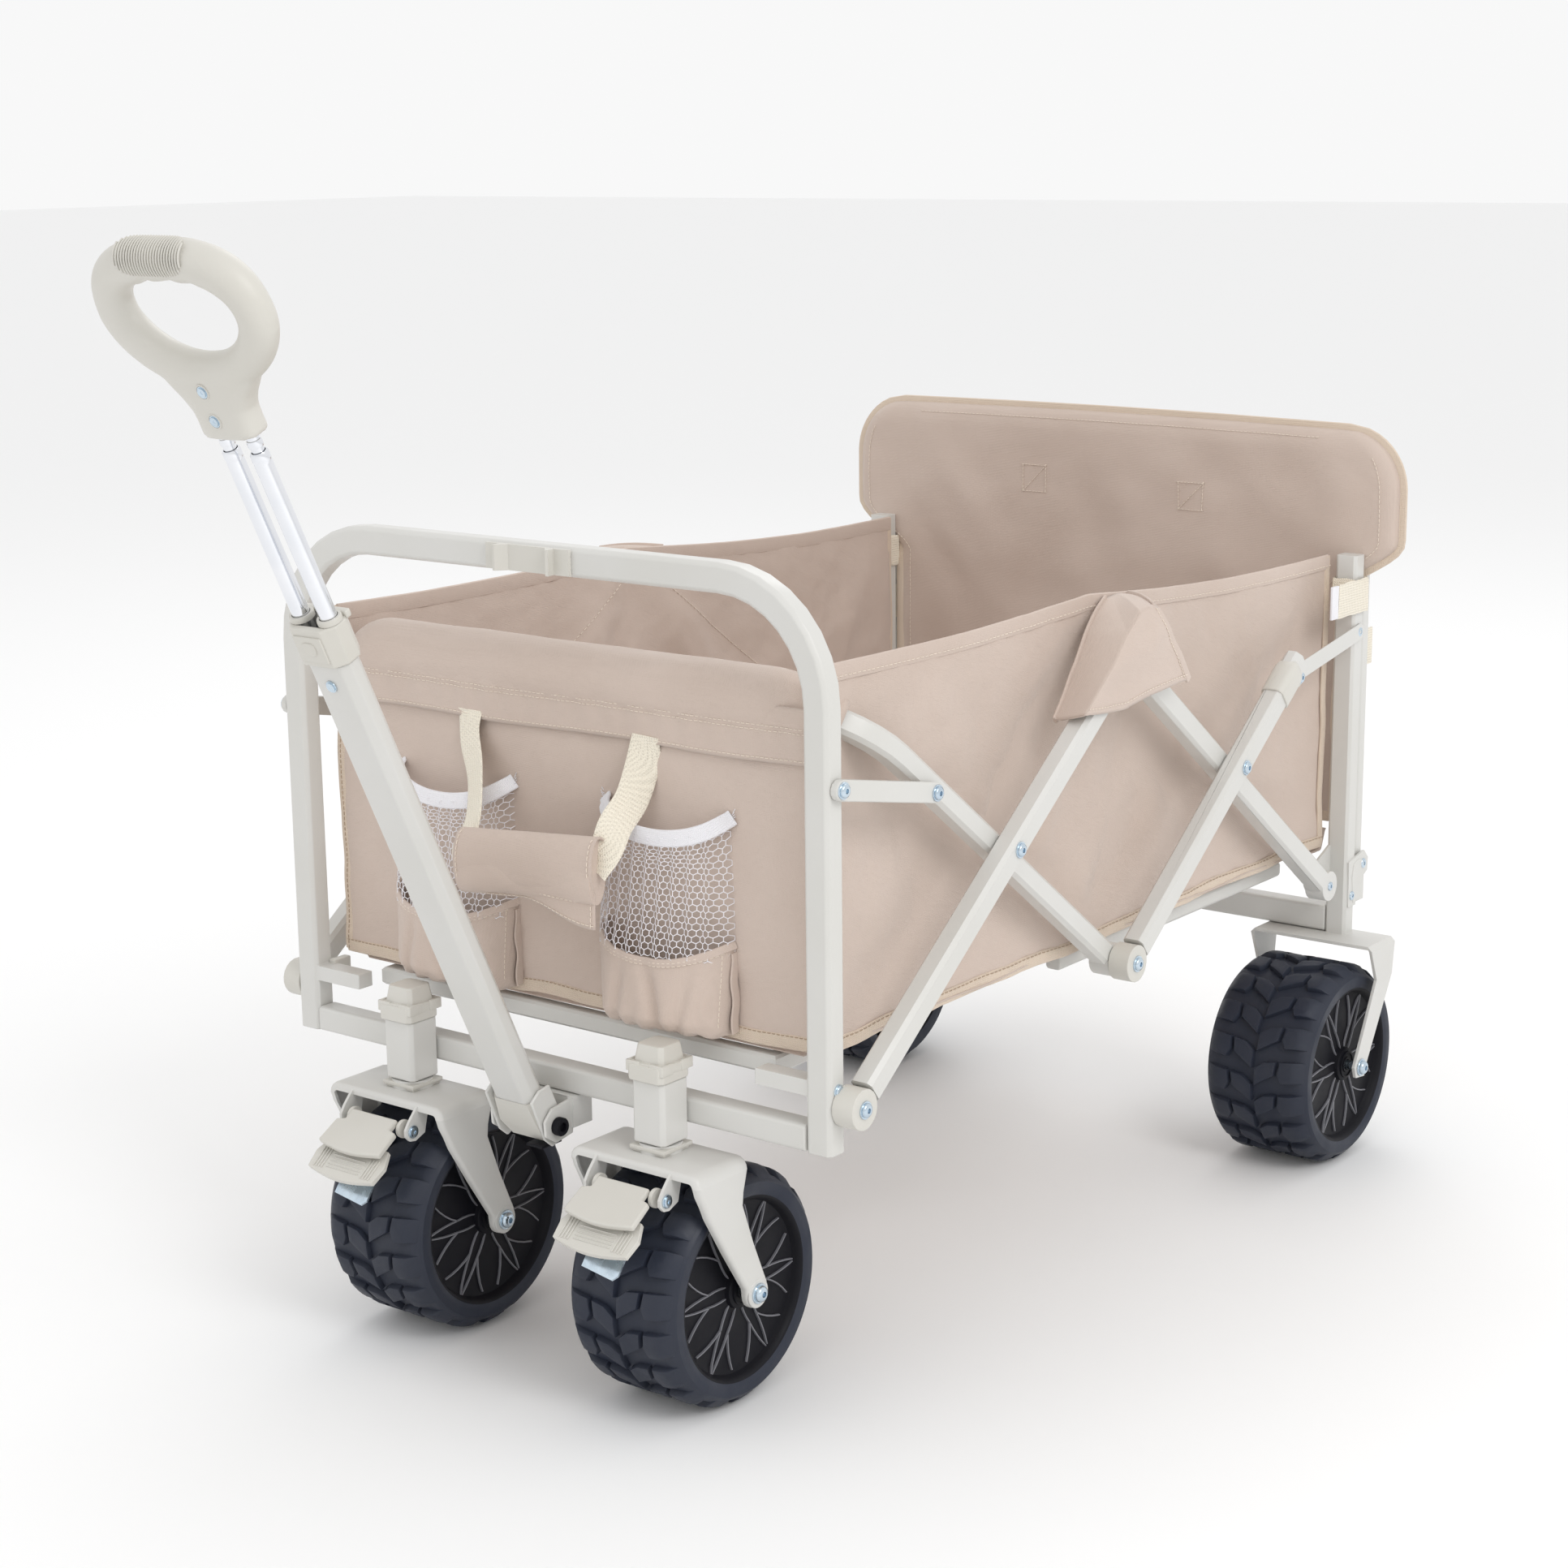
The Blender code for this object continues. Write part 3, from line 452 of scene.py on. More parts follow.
def tread_block(batch, centre, outline, steps=3):
    """A block on the tread: its outline is (degrees, y) corners, and its sides slope in."""
    points = []
    for (a, y), (b, z) in zip(outline, outline[1:] + outline[:1]):
        points += [(mix(a, b, i / steps), mix(y, z, i / steps)) for i in range(steps)]
    middle = (sum(p[0] for p in points) / len(points), sum(p[1] for p in points) / len(points))
    rings = []
    for shrink, drop in ((1.0, TREAD_DEPTH), (0.97, 0.0012), (0.93, 0.0002), (0.86, 0.0), (0.45, 0.0)):
        rings.append([])
        for a, y in points:
            a, y = mix(middle[0], a, shrink), mix(middle[1], y, shrink)
            rings[-1].append(on_tyre(centre, math.radians(a), y, crown(y) - drop))
    count = len(points)
    verts, faces = loft(rings, caps=False)
    verts.append(on_tyre(centre, math.radians(middle[0]), middle[1], crown(middle[1])))
    faces += [(4 * count + i, 4 * count + (i + 1) % count, 5 * count) for i in range(count)]
    faces.append(tuple(range(count))[::-1])
    batch.add((verts, faces))


def tyre(label, body, centre):
    base = [(RIM_R - 0.0020, -0.0480), (RIM_R + 0.0010, -0.0492), (0.0745, -TYRE_HALF), (0.0795, -0.0494),
            (0.0822, -0.0472), (0.0843, -0.0430), (0.0850, -0.0360), (0.0852, 0.0)]
    profile = base + [(r, -y) for r, y in base[-2::-1]] + [(RIM_R - 0.0020, 0.0), base[0]]
    batch = Batch().add(turned(centre, (0, 1, 0), profile, 96))
    pitch = 360 / PITCHES
    for i in range(PITCHES):
        for sign, shift in ((1, 0.0), (-1, pitch / 2)):
            a = i * pitch + shift
            shoulder = [(a + 1.0, 0.0272), (a + 2.4, 0.0462), (a + 3.0, 0.0486), (a + 15.0, 0.0486),
                        (a + 15.4, 0.0462), (a + 13.6, 0.0250), (a + 6.0, 0.0232)]
            chevron = [(a - 3.0, 0.0012), (a + 7.6, 0.0012), (a + 12.0, 0.0100), (a + 13.4, 0.0222),
                       (a + 5.0, 0.0206), (a + 1.2, 0.0112)]
            for outline in (shoulder, chevron):
                tread_block(batch, centre, [(b, sign * y) for b, y in outline])
    made = batch.piece(f"tyre_tread_{label}", RUBBER, body, "tyre", angle=38)
    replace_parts(made, f"tyre_{label}")


def rim(label, body, centre, outer):
    """Rim with branching ribs on its web; outer is the side that the web faces."""
    profile = [(0.0045, 0.0460), (0.0135, 0.0460), (0.0148, 0.0450), (0.0155, 0.0415), (0.0190, 0.0405),
               (0.0600, 0.0402), (0.0648, 0.0412), (0.0662, 0.0440), (0.0675, 0.0470), (0.0690, 0.0480),
               (0.0708, 0.0482), (RIM_R, 0.0470), (RIM_R, -0.0470), (0.0708, -0.0482), (0.0690, -0.0475),
               (0.0665, -0.0440), (0.0655, 0.0250), (0.0630, 0.0335), (0.0600, 0.0345), (0.0190, 0.0345),
               (0.0165, 0.0330), (0.0150, -0.0380), (0.0135, -0.0400), (0.0045, -0.0400), (0.0045, 0.0460)]
    made = build(f"rim_dish_{label}", *turned(centre, (0, outer, 0), profile, 72), BLACK, body, "rim")
    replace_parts(made, f"rim_{label}")

    ribs = Batch()
    for side, face in ((outer, 0.0408), (-outer, -0.0340)):
        def spot(r, degrees):
            t = math.radians(degrees)
            return centre + Vector((r * math.cos(t), side * face, r * math.sin(t)))
        for i in range(6):
            turn = 60 * i
            for fork in (-1, 1):
                stem = [spot(mix(0.0150, 0.0340, k / 3), turn + fork * mix(17, 8, k / 3)) for k in range(4)]
                near = [spot(mix(0.0340, 0.0650, k / 4), turn + fork * mix(8, 0.8, k / 4)) for k in range(5)]
                far = [spot(mix(0.0340, 0.0620, k / 4), turn + fork * mix(8, 22, k / 4)) for k in range(5)]
                for path in (stem, near, far):
                    ribs.add(swept(path, oval(0.0008, 0.0014, 6), Vector((0, side, 0))))
    # The ribs take the grey painted-highlight finish rather than the rim's own black.
    ribs.piece(f"rim_ribs_{label}", RIB_PAINTED_HIGHLIGHT, body, "rim")

    ring = Batch()
    for side, end in ((outer, 0.0060), (-outer, 0.0)):
        profile = [(0.0048, 0.0396), (0.0048, 0.0412), (0.0070, 0.0414), (0.0072, 0.0406), (0.0102, 0.0406),
                   (0.0104, 0.0416), (0.0120, 0.0414), (0.0121, 0.0396)]
        profile = [(r, h + end) for r, h in profile]
        ring.add(turned(centre, (0, side, 0), profile + [profile[0]], 28))
    ring.piece(f"hub_bearing_{label}", BLACK, body, "rim")


def bolt_head(batch, point, normal, radius=0.0072, height=0.0048, socket=True):
    """A washer and a low dome with a recess in it."""
    normal = Vector(normal).normalized()
    washer = [(0.0, 0.0), (radius, 0.0), (radius, 0.0009), (radius * 0.97, 0.0012), (0.0, 0.0012)]
    batch.add(turned(point, normal, washer, 24))
    r = radius * 0.80
    dome = [(0.0, 0.0010), (r, 0.0010), (r, 0.0020), (r * 0.93, mix(0.002, height, 0.50)),
            (r * 0.72, mix(0.002, height, 0.86)), (r * 0.46, height)]
    recess = [(r * 0.36, height * 0.98), (r * 0.30, height * 0.45), (0.0, height * 0.40)]
    dome += recess if socket else [(0.0, height)]
    batch.add(turned(point, normal, dome, 20))


def wheels():
    for side, label in SIDES:
        for where, outer in (("front", 1), ("rear", side)):
            low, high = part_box(f"tyre_{where}_{label}")
            centre = (low + high) / 2
            name = f"{where}_{label}"
            tyre(name, f"{where}_wheel_{label}", centre)
            rim(name, f"{where}_wheel_{label}", centre, outer)
            node = f"castor_axle_{label}" if where == "front" else f"rear_axle_{label}"
            body = f"castor_{label}" if where == "front" else "rear_frame"
            low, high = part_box(node)
            heads = Batch()
            heads.add(rod(centre, (0, 1, 0), 0.0040, -0.0610, 0.0610, 16))
            for way in (1, -1):
                bolt_head(heads, centre + Vector((0, way * 0.0608, 0)), (0, way, 0), 0.0078, 0.0052)
            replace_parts(heads.piece(f"axle_bolt_{name}", ZINC, body, "zinc"), node)


wheels()


# ---------------------------------------------------------------- rivets and screws

def rivets():
    y_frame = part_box("front_hoop")[1].y
    y_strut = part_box("front_strut_left")[1].y
    y_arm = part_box("front_arm_left")[1].y
    y_post = 0.2632
    far_front = at(-0.121, 0, 0.4535)
    spots = (
        ("front_struts", JOINTS["front_strut"], y_strut, 0.0062),
        ("front_struts", far_front, y_strut, 0.0062),
        ("front_arms", JOINTS["fold"], y_arm, 0.0066),
        ("front_arms", JOINTS["front_cross"], y_arm, 0.0062),
        ("rear_upper_arms", middle_pivot(), y_arm, 0.0066),
        ("rear_upper_arms", JOINTS["rear_cross"], y_arm, 0.0062),
        ("rear_upper_arms", at(-0.664, 0, 0.452), 0.2712, 0.0056),
        ("rear_frame", at(-0.788, 0, 0.473), y_post - 0.0010, 0.0060),
        ("rear_frame", at(-0.8085, 0, 0.258), y_post, 0.0058),
        ("rear_frame", at(-0.7880, 0, 0.232), y_post, 0.0052),
        ("rear_frame", JOINTS["rear_level"], y_post, 0.0050),
        ("frame", at(-0.0095, 0, 0.262), y_frame, 0.0050),
    )
    batches = {}
    for body, point, y, radius in spots:
        for side, _ in SIDES:
            place = Vector((point.x, side * y, point.z))
            bolt_head(batches.setdefault(body, Batch()), place, (0, side, 0), radius, radius * 0.55)
    for body, batch in batches.items():
        batch.piece(f"rivets_{body}", ZINC, body, "zinc")


def middle_pivot():
    """The pivot at the foot of the middle cross."""
    low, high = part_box("mid_knuckle_left")
    point = (low + high) / 2
    return Vector((point.x, 0, point.z))


rivets()


# ---------------------------------------------------------------- bag

BAG_HALF = 0.2365
PANEL_X = -0.0285
BOTTOM = 0.279
BINDING_W = 0.0085


def fold_depth(p, folds):
    """Depth of a few soft creases. Each is (start, end, width, depth) in the panel's own plane."""
    total = 0.0
    for (ax, az), (bx, bz), width, depth in folds:
        a, b, q = Vector((ax, az)), Vector((bx, bz)), Vector(p)
        along = b - a
        t = (q - a).dot(along) / along.length_squared
        off = (q - (a + along * min(1.0, max(0.0, t)))).length
        share = 0.35 + 0.65 * math.sin(math.pi * min(1, max(0, t)) ** 0.8)
        total += depth * math.exp(-(off / width) ** 2) * share
    return total


FRONT_FOLDS = (((-0.20, 0.47), (-0.13, 0.31), 0.020, 0.0030), ((0.02, 0.29), (0.03, 0.40), 0.024, -0.0026),
               ((0.215, 0.47), (0.19, 0.33), 0.022, 0.0030), ((-0.215, 0.36), (-0.12, 0.30), 0.016, 0.0026),
               ((0.22, 0.33), (0.14, 0.29), 0.018, -0.0030))
SIDE_FOLDS = (((-0.370, 0.540), (-0.225, 0.350), 0.020, 0.0062),
              ((-0.380, 0.530), (-0.310, 0.330), 0.017, -0.0040),
              ((-0.405, 0.530), (-0.560, 0.335), 0.020, 0.0060),
              ((-0.070, 0.480), (-0.205, 0.370), 0.022, 0.0050),
              ((-0.745, 0.505), (-0.620, 0.370), 0.021, 0.0055),
              ((-0.375, 0.300), (-0.300, 0.365), 0.015, 0.0050),
              ((-0.390, 0.300), (-0.465, 0.370), 0.015, 0.0050),
              ((-0.060, 0.300), (-0.170, 0.355), 0.018, 0.0042),
              ((-0.755, 0.310), (-0.640, 0.345), 0.018, 0.0045),
              ((-0.480, 0.530), (-0.500, 0.330), 0.022, -0.0030),
              ((-0.160, 0.530), (-0.240, 0.420), 0.020, -0.0030))


def front_point(u, v):
    """Front panel from the right (u = 0) to the left, bottom to top."""
    y = mix(-BAG_HALF + 0.003, BAG_HALF - 0.003, u)
    z = mix(BOTTOM, 0.503, v)
    y += 0.0026 * ripple(Vector((0, 0, z)), 26, 4.0 if u > 0.5 else 9.0) * smooth(abs(u - 0.5) * 4 - 1)
    loose = math.sin(math.pi * u) ** 0.5 * math.sin(math.pi * min(1, v * 0.95 + 0.05)) ** 0.6
    x = PANEL_X + 0.0050 * loose + fold_depth((y, z), FRONT_FOLDS) * loose
    x += 0.0035 * ripple(Vector((0, y, z)), 13, 1.7) * loose + 0.0012 * ripple(Vector((0, y, z)), 40, 5.1)
    z += 0.0026 * ripple(Vector((0, y, 0)), 22, 3.3) * (1 - smooth(v * 6))
    return at(x, y, z)


def side_top(x):
    apex = -0.380
    if x > apex:
        share = (x + 0.040) / (apex + 0.040)
        return mix(0.5535, 0.5570, share) - 0.0035 * math.sin(math.pi * share)
    t = (x - apex) / (-0.775 - apex)
    return mix(0.5570, 0.5400, t) - 0.0060 * math.sin(math.pi * t)


def side_offset(x, z, side):
    """How far the side panel lies in from its plane."""
    u = (x + 0.036) / (-0.775 + 0.036)
    v = (z - BOTTOM) / (0.545 - BOTTOM)
    loose = math.sin(math.pi * min(1, max(0, u))) ** 0.35
    loose *= 0.25 + 0.75 * math.sin(math.pi * min(1, max(0.02, v)) ** 0.8)
    depth = 0.0065 * loose + fold_depth((x, z), SIDE_FOLDS) * loose
    depth += 0.0050 * ripple(Vector((x, side, z)), 9, 2.2) * loose
    depth += 0.0016 * ripple(Vector((x, side, z)), 28, 7.9) * loose
    depth += 0.0005 * ripple(Vector((x, 0, z)), 75, 3.0)
    return min(0.0122, max(0.0008, depth * 1.6))


def side_point(side):
    def point(u, v):
        x = mix(-0.034, -0.776, u)
        top = side_top(x)
        z = mix(BOTTOM - 0.001, top, v)
        z += 0.0022 * ripple(Vector((x, side, 0)), 20, 6.4) * (1 - smooth(v * 6))
        x += 0.0024 * ripple(Vector((0, side, z)), 24, 8.0) * smooth(abs(u - 0.5) * 30 - 14)
        return at(x, side * (BAG_HALF + 0.0012 - side_offset(x, z, side)), z)
    return point


def tape(name, path, normal, body, finish=None, width=BINDING_W, thick=0.0026, squash=False):
    """Folded tape sewn over a raw edge."""
    verts, faces = swept(path, oval(width / 2, thick / 2, 10, 0.6), normal)
    made = build(name, verts, faces, finish or BINDING, body, "fabric")
    if squash:
        fold_up(made)
    return made


def fold_up(piece):
    """Gives the piece its own copy of its mesh."""
    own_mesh(piece)


def bag_panels():
    panel = sheet_of("bag_front_panel", front_point, 110, 60, FABRIC, "bag")
    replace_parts(panel, "bag_front")
    forward = Vector((1, 0, 0))
    low = line_on(front_point, 70, v=0.0, lift=Vector((0.0006, 0, 0.0030)))
    edge = tape("front_binding_bottom", low, forward, "bag", width=0.011)
    for u, label in ((0.0, "right"), (1.0, "left")):
        path = line_on(front_point, 44, u=u, lift=Vector((0.0004, 0.0015 if u < 0.5 else -0.0015, 0)))[:-2]
        tape(f"front_binding_{label}", path, forward, "bag")
    thread = Batch()
    stitches(thread, line_on(front_point, 90, v=0.0, lift=Vector((0.0016, 0, 0.0075))), forward)
    for u, side in ((1.0, 1), (0.0, -1)):
        stitches(thread, line_on(front_point, 50, u=u, lift=Vector((0.0016, side * -0.0015, 0)))[:-2],
                 forward)
    seams = thread.piece("front_seams", THREAD_DARK, "bag", "fabric")

    for side, label in SIDES:
        point = side_point(side)
        panel = sheet_of(f"bag_side_panel_{label}", point, 190, 66, FABRIC, "bag")
        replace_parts(panel, f"bag_side_{label}")
        fold_up(panel)
        out = Vector((0, side, 0))
        for name, path, width in (
                ("bottom", line_on(point, 120, v=0.0, lift=Vector((0, side * 0.0006, 0.0030))), 0.011),
                ("front", line_on(point, 50, u=0.0, lift=Vector((-0.0015, side * 0.0004, 0))), BINDING_W),
                ("rear", line_on(point, 50, u=1.0, lift=Vector((0.0015, side * 0.0004, 0))), BINDING_W)):
            tape(f"side_binding_{name}_{label}", path, out, "bag", width=width, squash=True)
        hem = line_on(point, 130, v=1.0, lift=Vector((0, side * 0.0018, -0.0085)))
        top = line_on(point, 130, v=1.0, lift=Vector((0, 0, -0.0055)))
        hem_piece = build(f"side_hem_{label}", *swept(top, oval(0.0068, 0.0019, 10, 0.6), out), FABRIC, "bag",
                          "fabric")
        fold_up(hem_piece)

        def inner_seam(end_x, end_z):
            path = []
            for i in range(61):
                x, z = mix(-0.3965, end_x, i / 60), mix(0.5440, end_z, i / 60)
                v = (z - BOTTOM + 0.001) / (side_top(x) - BOTTOM + 0.001)
                path.append(point((x + 0.034) / -0.742, v) - Vector((0, side * 0.0016, 0)))
            return path

        seams = []
        low_seam = line_on(point, 120, v=0.0, lift=Vector((0, side * 0.0019, 0.0070)))
        for name, finish, path in (("hem", THREAD, hem),
                                   ("brace_front", THREAD, inner_seam(-0.150, 0.400)),
                                   ("brace_rear", THREAD, inner_seam(-0.610, 0.386)),
                                   ("binding", THREAD_DARK, low_seam)):
            thread = Batch()
            stitches(thread, path, out, pitch=0.0055, length=0.0036)
            seams.append(thread.piece(f"side_{name}_seam_{label}", finish, "bag", "fabric"))
            fold_up(seams[-1])


def front_roll():
    """The padded roll over the hoop's cross tube, with its flap sewn down in front."""
    low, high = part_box("bag_front_roll")
    centre = (low + high) / 2
    angle = math.atan2(JOINTS["front_cross"].z - JOINTS["fold"].z, JOINTS["fold"].x - JOINTS["front_cross"].x)
    down = Vector((-math.cos(angle), 0, -math.sin(angle)))
    up = Vector((-math.sin(angle), 0, math.cos(angle)))
    straight, corner, most = high.y, 0.060, math.radians(44)
    radius = 0.0262

    def spine(share):
        """(point, outward, share of the full roll) along the cross tube and part of its corners."""
        reach = straight + corner * most
        s = mix(-reach, reach, share)
        turn = max(0.0, abs(s) - straight) / corner
        way = 1 if s > 0 else -1
        y = way * (min(abs(s), straight) + corner * math.sin(turn))
        point = Vector((centre.x, y, centre.z)) + down * (corner * (1 - math.cos(turn)))
        outward = -down * math.cos(turn) + Vector((0, way, 0)) * math.sin(turn)
        return point, outward, turn / most

    def roll_point(u, v):
        point, outward, bent = spine(u)
        size = mix(1.0, 0.66, smooth(bent))
        y = point.y
        soft = 1 + 0.035 * ripple(Vector((0, y, v)), 14, 2.0) + 0.02 * ripple(Vector((0, y, 3 * v)), 34, 6.0)
        turn = math.radians(mix(-158, 202, v))
        flat = Vector((math.cos(turn), math.sin(turn)))
        radial = radius * size * soft * (1 - 0.05 * max(0.0, -flat.y))
        x, z = flat.x * radial, flat.y * radial * 1.05
        return point + up * (up.x * x + up.z * z) - outward * (down.x * x + down.z * z)

    roll = build("front_roll_cover", *grid(roll_point, 120, 40), FABRIC, "bag_hoop", "fabric", angle=0,
                 keep_normals=True)
    modifier(roll, "SOLIDIFY", thickness=0.0010, offset=-1.0)
    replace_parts(roll, "bag_front_roll")

    def flap_point(u, v):
        y = mix(-0.2335, 0.2335, u)
        pucker = 0.0009 * math.sin(y * 260) * (1 - abs(2 * v - 1))
        x = mix(0.0245, 0.0222, v) + 0.0010 * ripple(Vector((0, y, v * 0.04)), 22, 3.0) + pucker
        z = mix(0.006, -0.0345 + 0.0010 * math.sin(y * 31), v)
        if v < 0.25:
            x -= 0.0022 * (1 - v / 0.25) ** 2
        return Vector((centre.x + x, y, centre.z + z))

    flap = sheet_of("front_roll_flap", flap_point, 110, 16, FABRIC, "bag_hoop", thickness=0.0016)
    thread = Batch()
    for v in (0.36, 0.44, 0.93):
        stitches(thread, line_on(flap_point, 110, v=v, lift=Vector((0.0009, 0, 0))), Vector((1, 0, 0)))
    seams = thread.piece("front_flap_seams", THREAD, "bag_hoop", "fabric")


def apex_sleeves():
    """The cloth caps over the top joints of the side arms."""
    columns = (
        ((-0.4000, 0.2385, 0.5520), (-0.3600, 0.2460, 0.5300), (-0.3000, 0.2560, 0.4740)),
        ((-0.4080, 0.2385, 0.5530), (-0.3560, 0.2855, 0.5350), (-0.2930, 0.2865, 0.4860)),
        ((-0.4150, 0.2385, 0.5535), (-0.3720, 0.2865, 0.5500), (-0.3500, 0.2870, 0.4780)),
        ((-0.4230, 0.2385, 0.5530), (-0.3850, 0.2865, 0.5520), (-0.4000, 0.2870, 0.4800)),
        ((-0.4330, 0.2385, 0.5510), (-0.3950, 0.2865, 0.5500), (-0.4500, 0.2845, 0.4850)))

    def place(u, row):
        step = u * (len(columns) - 1)
        i = min(int(step), len(columns) - 2)
        t = (step - i) * 0.7 + smooth(step - i) * 0.3
        return Vector([mix(a, b, t) for a, b in zip(columns[i][row], columns[i + 1][row])])

    for side, label in SIDES:
        def point(u, v):
            wrap = 0.32
            top, ridge, low = (place(u, row) for row in range(3))
            if v < wrap:
                spot = mix(top, ridge, v / wrap)
                spot.z += 0.0022 * math.sin(math.pi * v / wrap)
            else:
                t = (v - wrap) / (1 - wrap)
                spot = mix(ridge, low, t)
                fullness = (0.5 + ripple(Vector((u, t, side)), 3, 1.0)) * min(1, u * 5)
                spot.y += 0.0028 * math.sin(math.pi * t) * fullness
                spot.z -= 0.0035 * math.sin(math.pi * u * 2) * t
            spot.y += 0.0013 * ripple(Vector((spot.x, 0, spot.z)), 34, 5.5)
            return at(spot.x, side * spot.y, spot.z)

        sleeve = sheet_of(f"apex_sleeve_{label}", point, 60, 40, FABRIC, "bag", thickness=0.0014)
        fold_up(sleeve)
        thread = Batch()
        out = Vector((0, side, 0))
        for u in (0.04, 0.96):
            stitches(thread, line_on(point, 30, u=u, span=(0.05, 0.98), lift=out * 0.0009), out)
        stitches(thread, line_on(point, 60, v=0.95, span=(0.02, 0.98), lift=out * 0.0009), out)
        for u, name in ((0.0, "front"), (1.0, "rear")):
            tape(f"apex_hem_{name}_{label}", line_on(point, 24, u=u), out, "bag", FABRIC, 0.007,
                             squash=True)
        seams = thread.piece(f"apex_seams_{label}", THREAD, "bag", "fabric")
        fold_up(seams)


bag_panels()
front_roll()
apex_sleeves()


# ---------------------------------------------------------------- pockets and carry handle

POCKET_HALF, POCKET_TOP, POCKET_CUT = 0.0575, 0.4340, 0.3420


def pocket_point(centre_y, u, z, seed):
    """Front of a pocket bag: u runs across it from -1 to 1."""
    level = (z - BOTTOM) / (POCKET_TOP - BOTTOM)
    deep = mix(0.0345, 0.0200, smooth(level)) * min(1.0, (level + 0.10) * 6) ** 0.5
    round_off = max(0.0, 1 - abs(u) ** 2.6) ** 0.55
    x = PANEL_X + 0.0040 + deep * round_off
    if level < 0.62:
        for spot_u, lean, amount in ((-0.45, 0.5, 0.0045), (0.10, -0.7, 0.0060), (0.55, 0.4, 0.0040)):
            crease = math.exp(-((u - spot_u - lean * (level - 0.2)) / 0.09) ** 2)
            x -= amount * crease * smooth((0.40 - level) * 5) * round_off
        x += 0.0030 * ripple(Vector((seed, u * 0.05, z)), 30, seed) * round_off
    y = centre_y + u * (POCKET_HALF + 0.003 * math.sin(math.pi * min(1, max(0, level))))
    return at(x, y, z - 0.0125 * (1 - u * u) * smooth((level - 0.75) * 4)
              + 0.0045 * smooth(level * 4 - 3) * abs(u) ** 6)


def pockets():
    lower = BOTTOM + 0.0035
    for side, label in SIDES:
        mid_y, seed = side * POCKET_Y, 1.3 + side

        def cloth(u, v):
            u = 2 * u - 1
            if v < 0.18:
                t = v / 0.18
                point = pocket_point(mid_y, u, lower, seed)
                back = at(PANEL_X + 0.0035, mid_y + u * POCKET_HALF, lower + 0.002)
                low = mix(back, point, t)
                return low + Vector((0, 0, -0.0040 * math.sin(math.pi * t) + 0.0015 * math.sin(u * 21)))
            t = (v - 0.18) / 0.82
            top = POCKET_CUT + 0.0060 - 0.0150 * (1 - abs(u) ** 2.2)
            point = pocket_point(mid_y, u, mix(lower, top, t), seed)
            return point + Vector((0.0012 * math.sin(u * 19 + seed) * (1 - t) ** 4, 0, 0))

        bag = sheet_of(f"pocket_cloth_{label}", cloth, 46, 40, FABRIC, "bag", thickness=0.0013)
        forward = Vector((1, 0, 0))
        rim_path = line_on(cloth, 46, v=1.0, lift=Vector((0.0004, 0, -0.0008)))
        rim_tape = tape(f"pocket_edge_{label}", rim_path, forward, "bag", FABRIC, 0.006)

        verts, faces = [], []
        pitch, row, known = 0.0052, 0.0045, {}

        def corner(a, b):
            """One corner of the net, a across and b up in metres of cloth."""
            key = (round(a, 5), round(b, 5))
            if key not in known:
                u = max(-1.0, min(1.0, a / 0.0700))
                gather = 1 + 0.06 * math.sin(u * 22 + seed)
                point = pocket_point(mid_y, u, min(POCKET_TOP, POCKET_CUT - 0.006 + b), seed)
                known[key] = len(verts)
                verts.append(point + Vector((0.0016 * math.sin(u * 30 + seed) * gather, 0, 0)))
            return known[key]

        columns, rows = int(0.140 / pitch), int((POCKET_TOP - POCKET_CUT + 0.006) / row)
        for j in range(rows + 1):
            for i in range(columns + 1):
                a = -0.070 + (i + 0.5 * (j % 2)) * pitch
                b = j * row
                ring = [(a - pitch / 2, b + row * 0.33), (a, b), (a + pitch / 2, b + row * 0.33),
                        (a + pitch / 2, b + row), (a, b + row * 1.33), (a - pitch / 2, b + row)]
                faces.append(tuple(corner(*p) for p in ring))
        net = build(f"pocket_net_{label}", verts, faces, NET, "bag", "fabric", angle=0, keep_normals=True)
        modifier(net, "WIREFRAME", thickness=0.00085, use_replace=True, use_even_offset=False,
                 use_boundary=True)

        band = [pocket_point(mid_y, mix(-1.03, 1.03, i / 60), POCKET_TOP, seed) for i in range(61)]
        strip = swept(band, oval(0.0062, 0.0012, 10, 0.5), Vector((1, 0, 0.1)))
        elastic = build(f"pocket_elastic_{label}", *strip, ELASTIC, "bag", "fabric")
        threads = Batch()
        for end in (0, -1):
            for k in range(7):
                out = band[end] + Vector((0.0006 * (k % 3 - 1), 0, -0.005 + 0.0014 * k))
                way = -1 if end == 0 else 1
                path = [out, out + Vector((0.001, way * 0.0015, 0.0002 * k)),
                        out + Vector((0.0012, way * 0.0028, 0.0005 * k))]
                threads.add(swept(path, oval(0.0003, 0.0003, 5)))
        frayed = threads.piece(f"pocket_threads_{label}", ELASTIC, "bag", "fabric")

        flanges = Batch()
        for end in (-1, 1):
            path = [at(PANEL_X + 0.0060 + 0.0012 * math.sin(k), mid_y + end * (POCKET_HALF + 0.0030),
                       mix(lower, POCKET_CUT, k / 12)) for k in range(13)]
            flanges.add(swept(path, oval(0.0042, 0.0011, 8, 0.6), Vector((0, end, 0))))
        flange = flanges.piece(f"pocket_flanges_{label}", FABRIC, "bag", "fabric")
        seams = Batch()
        for v in (0.945, 0.985):
            stitches(seams, line_on(cloth, 60, v=v, span=(0.02, 0.98), lift=forward * 0.0011), forward)
        for u in (0.03, 0.97):
            stitches(seams, line_on(cloth, 30, u=u, span=(0.25, 0.92), lift=forward * 0.0011), forward)
        sewn = seams.piece(f"pocket_seams_{label}", THREAD, "bag", "fabric")


WRAP_ENDS = {-1: (-0.0500, 0.3890), 1: (0.0835, 0.4000)}


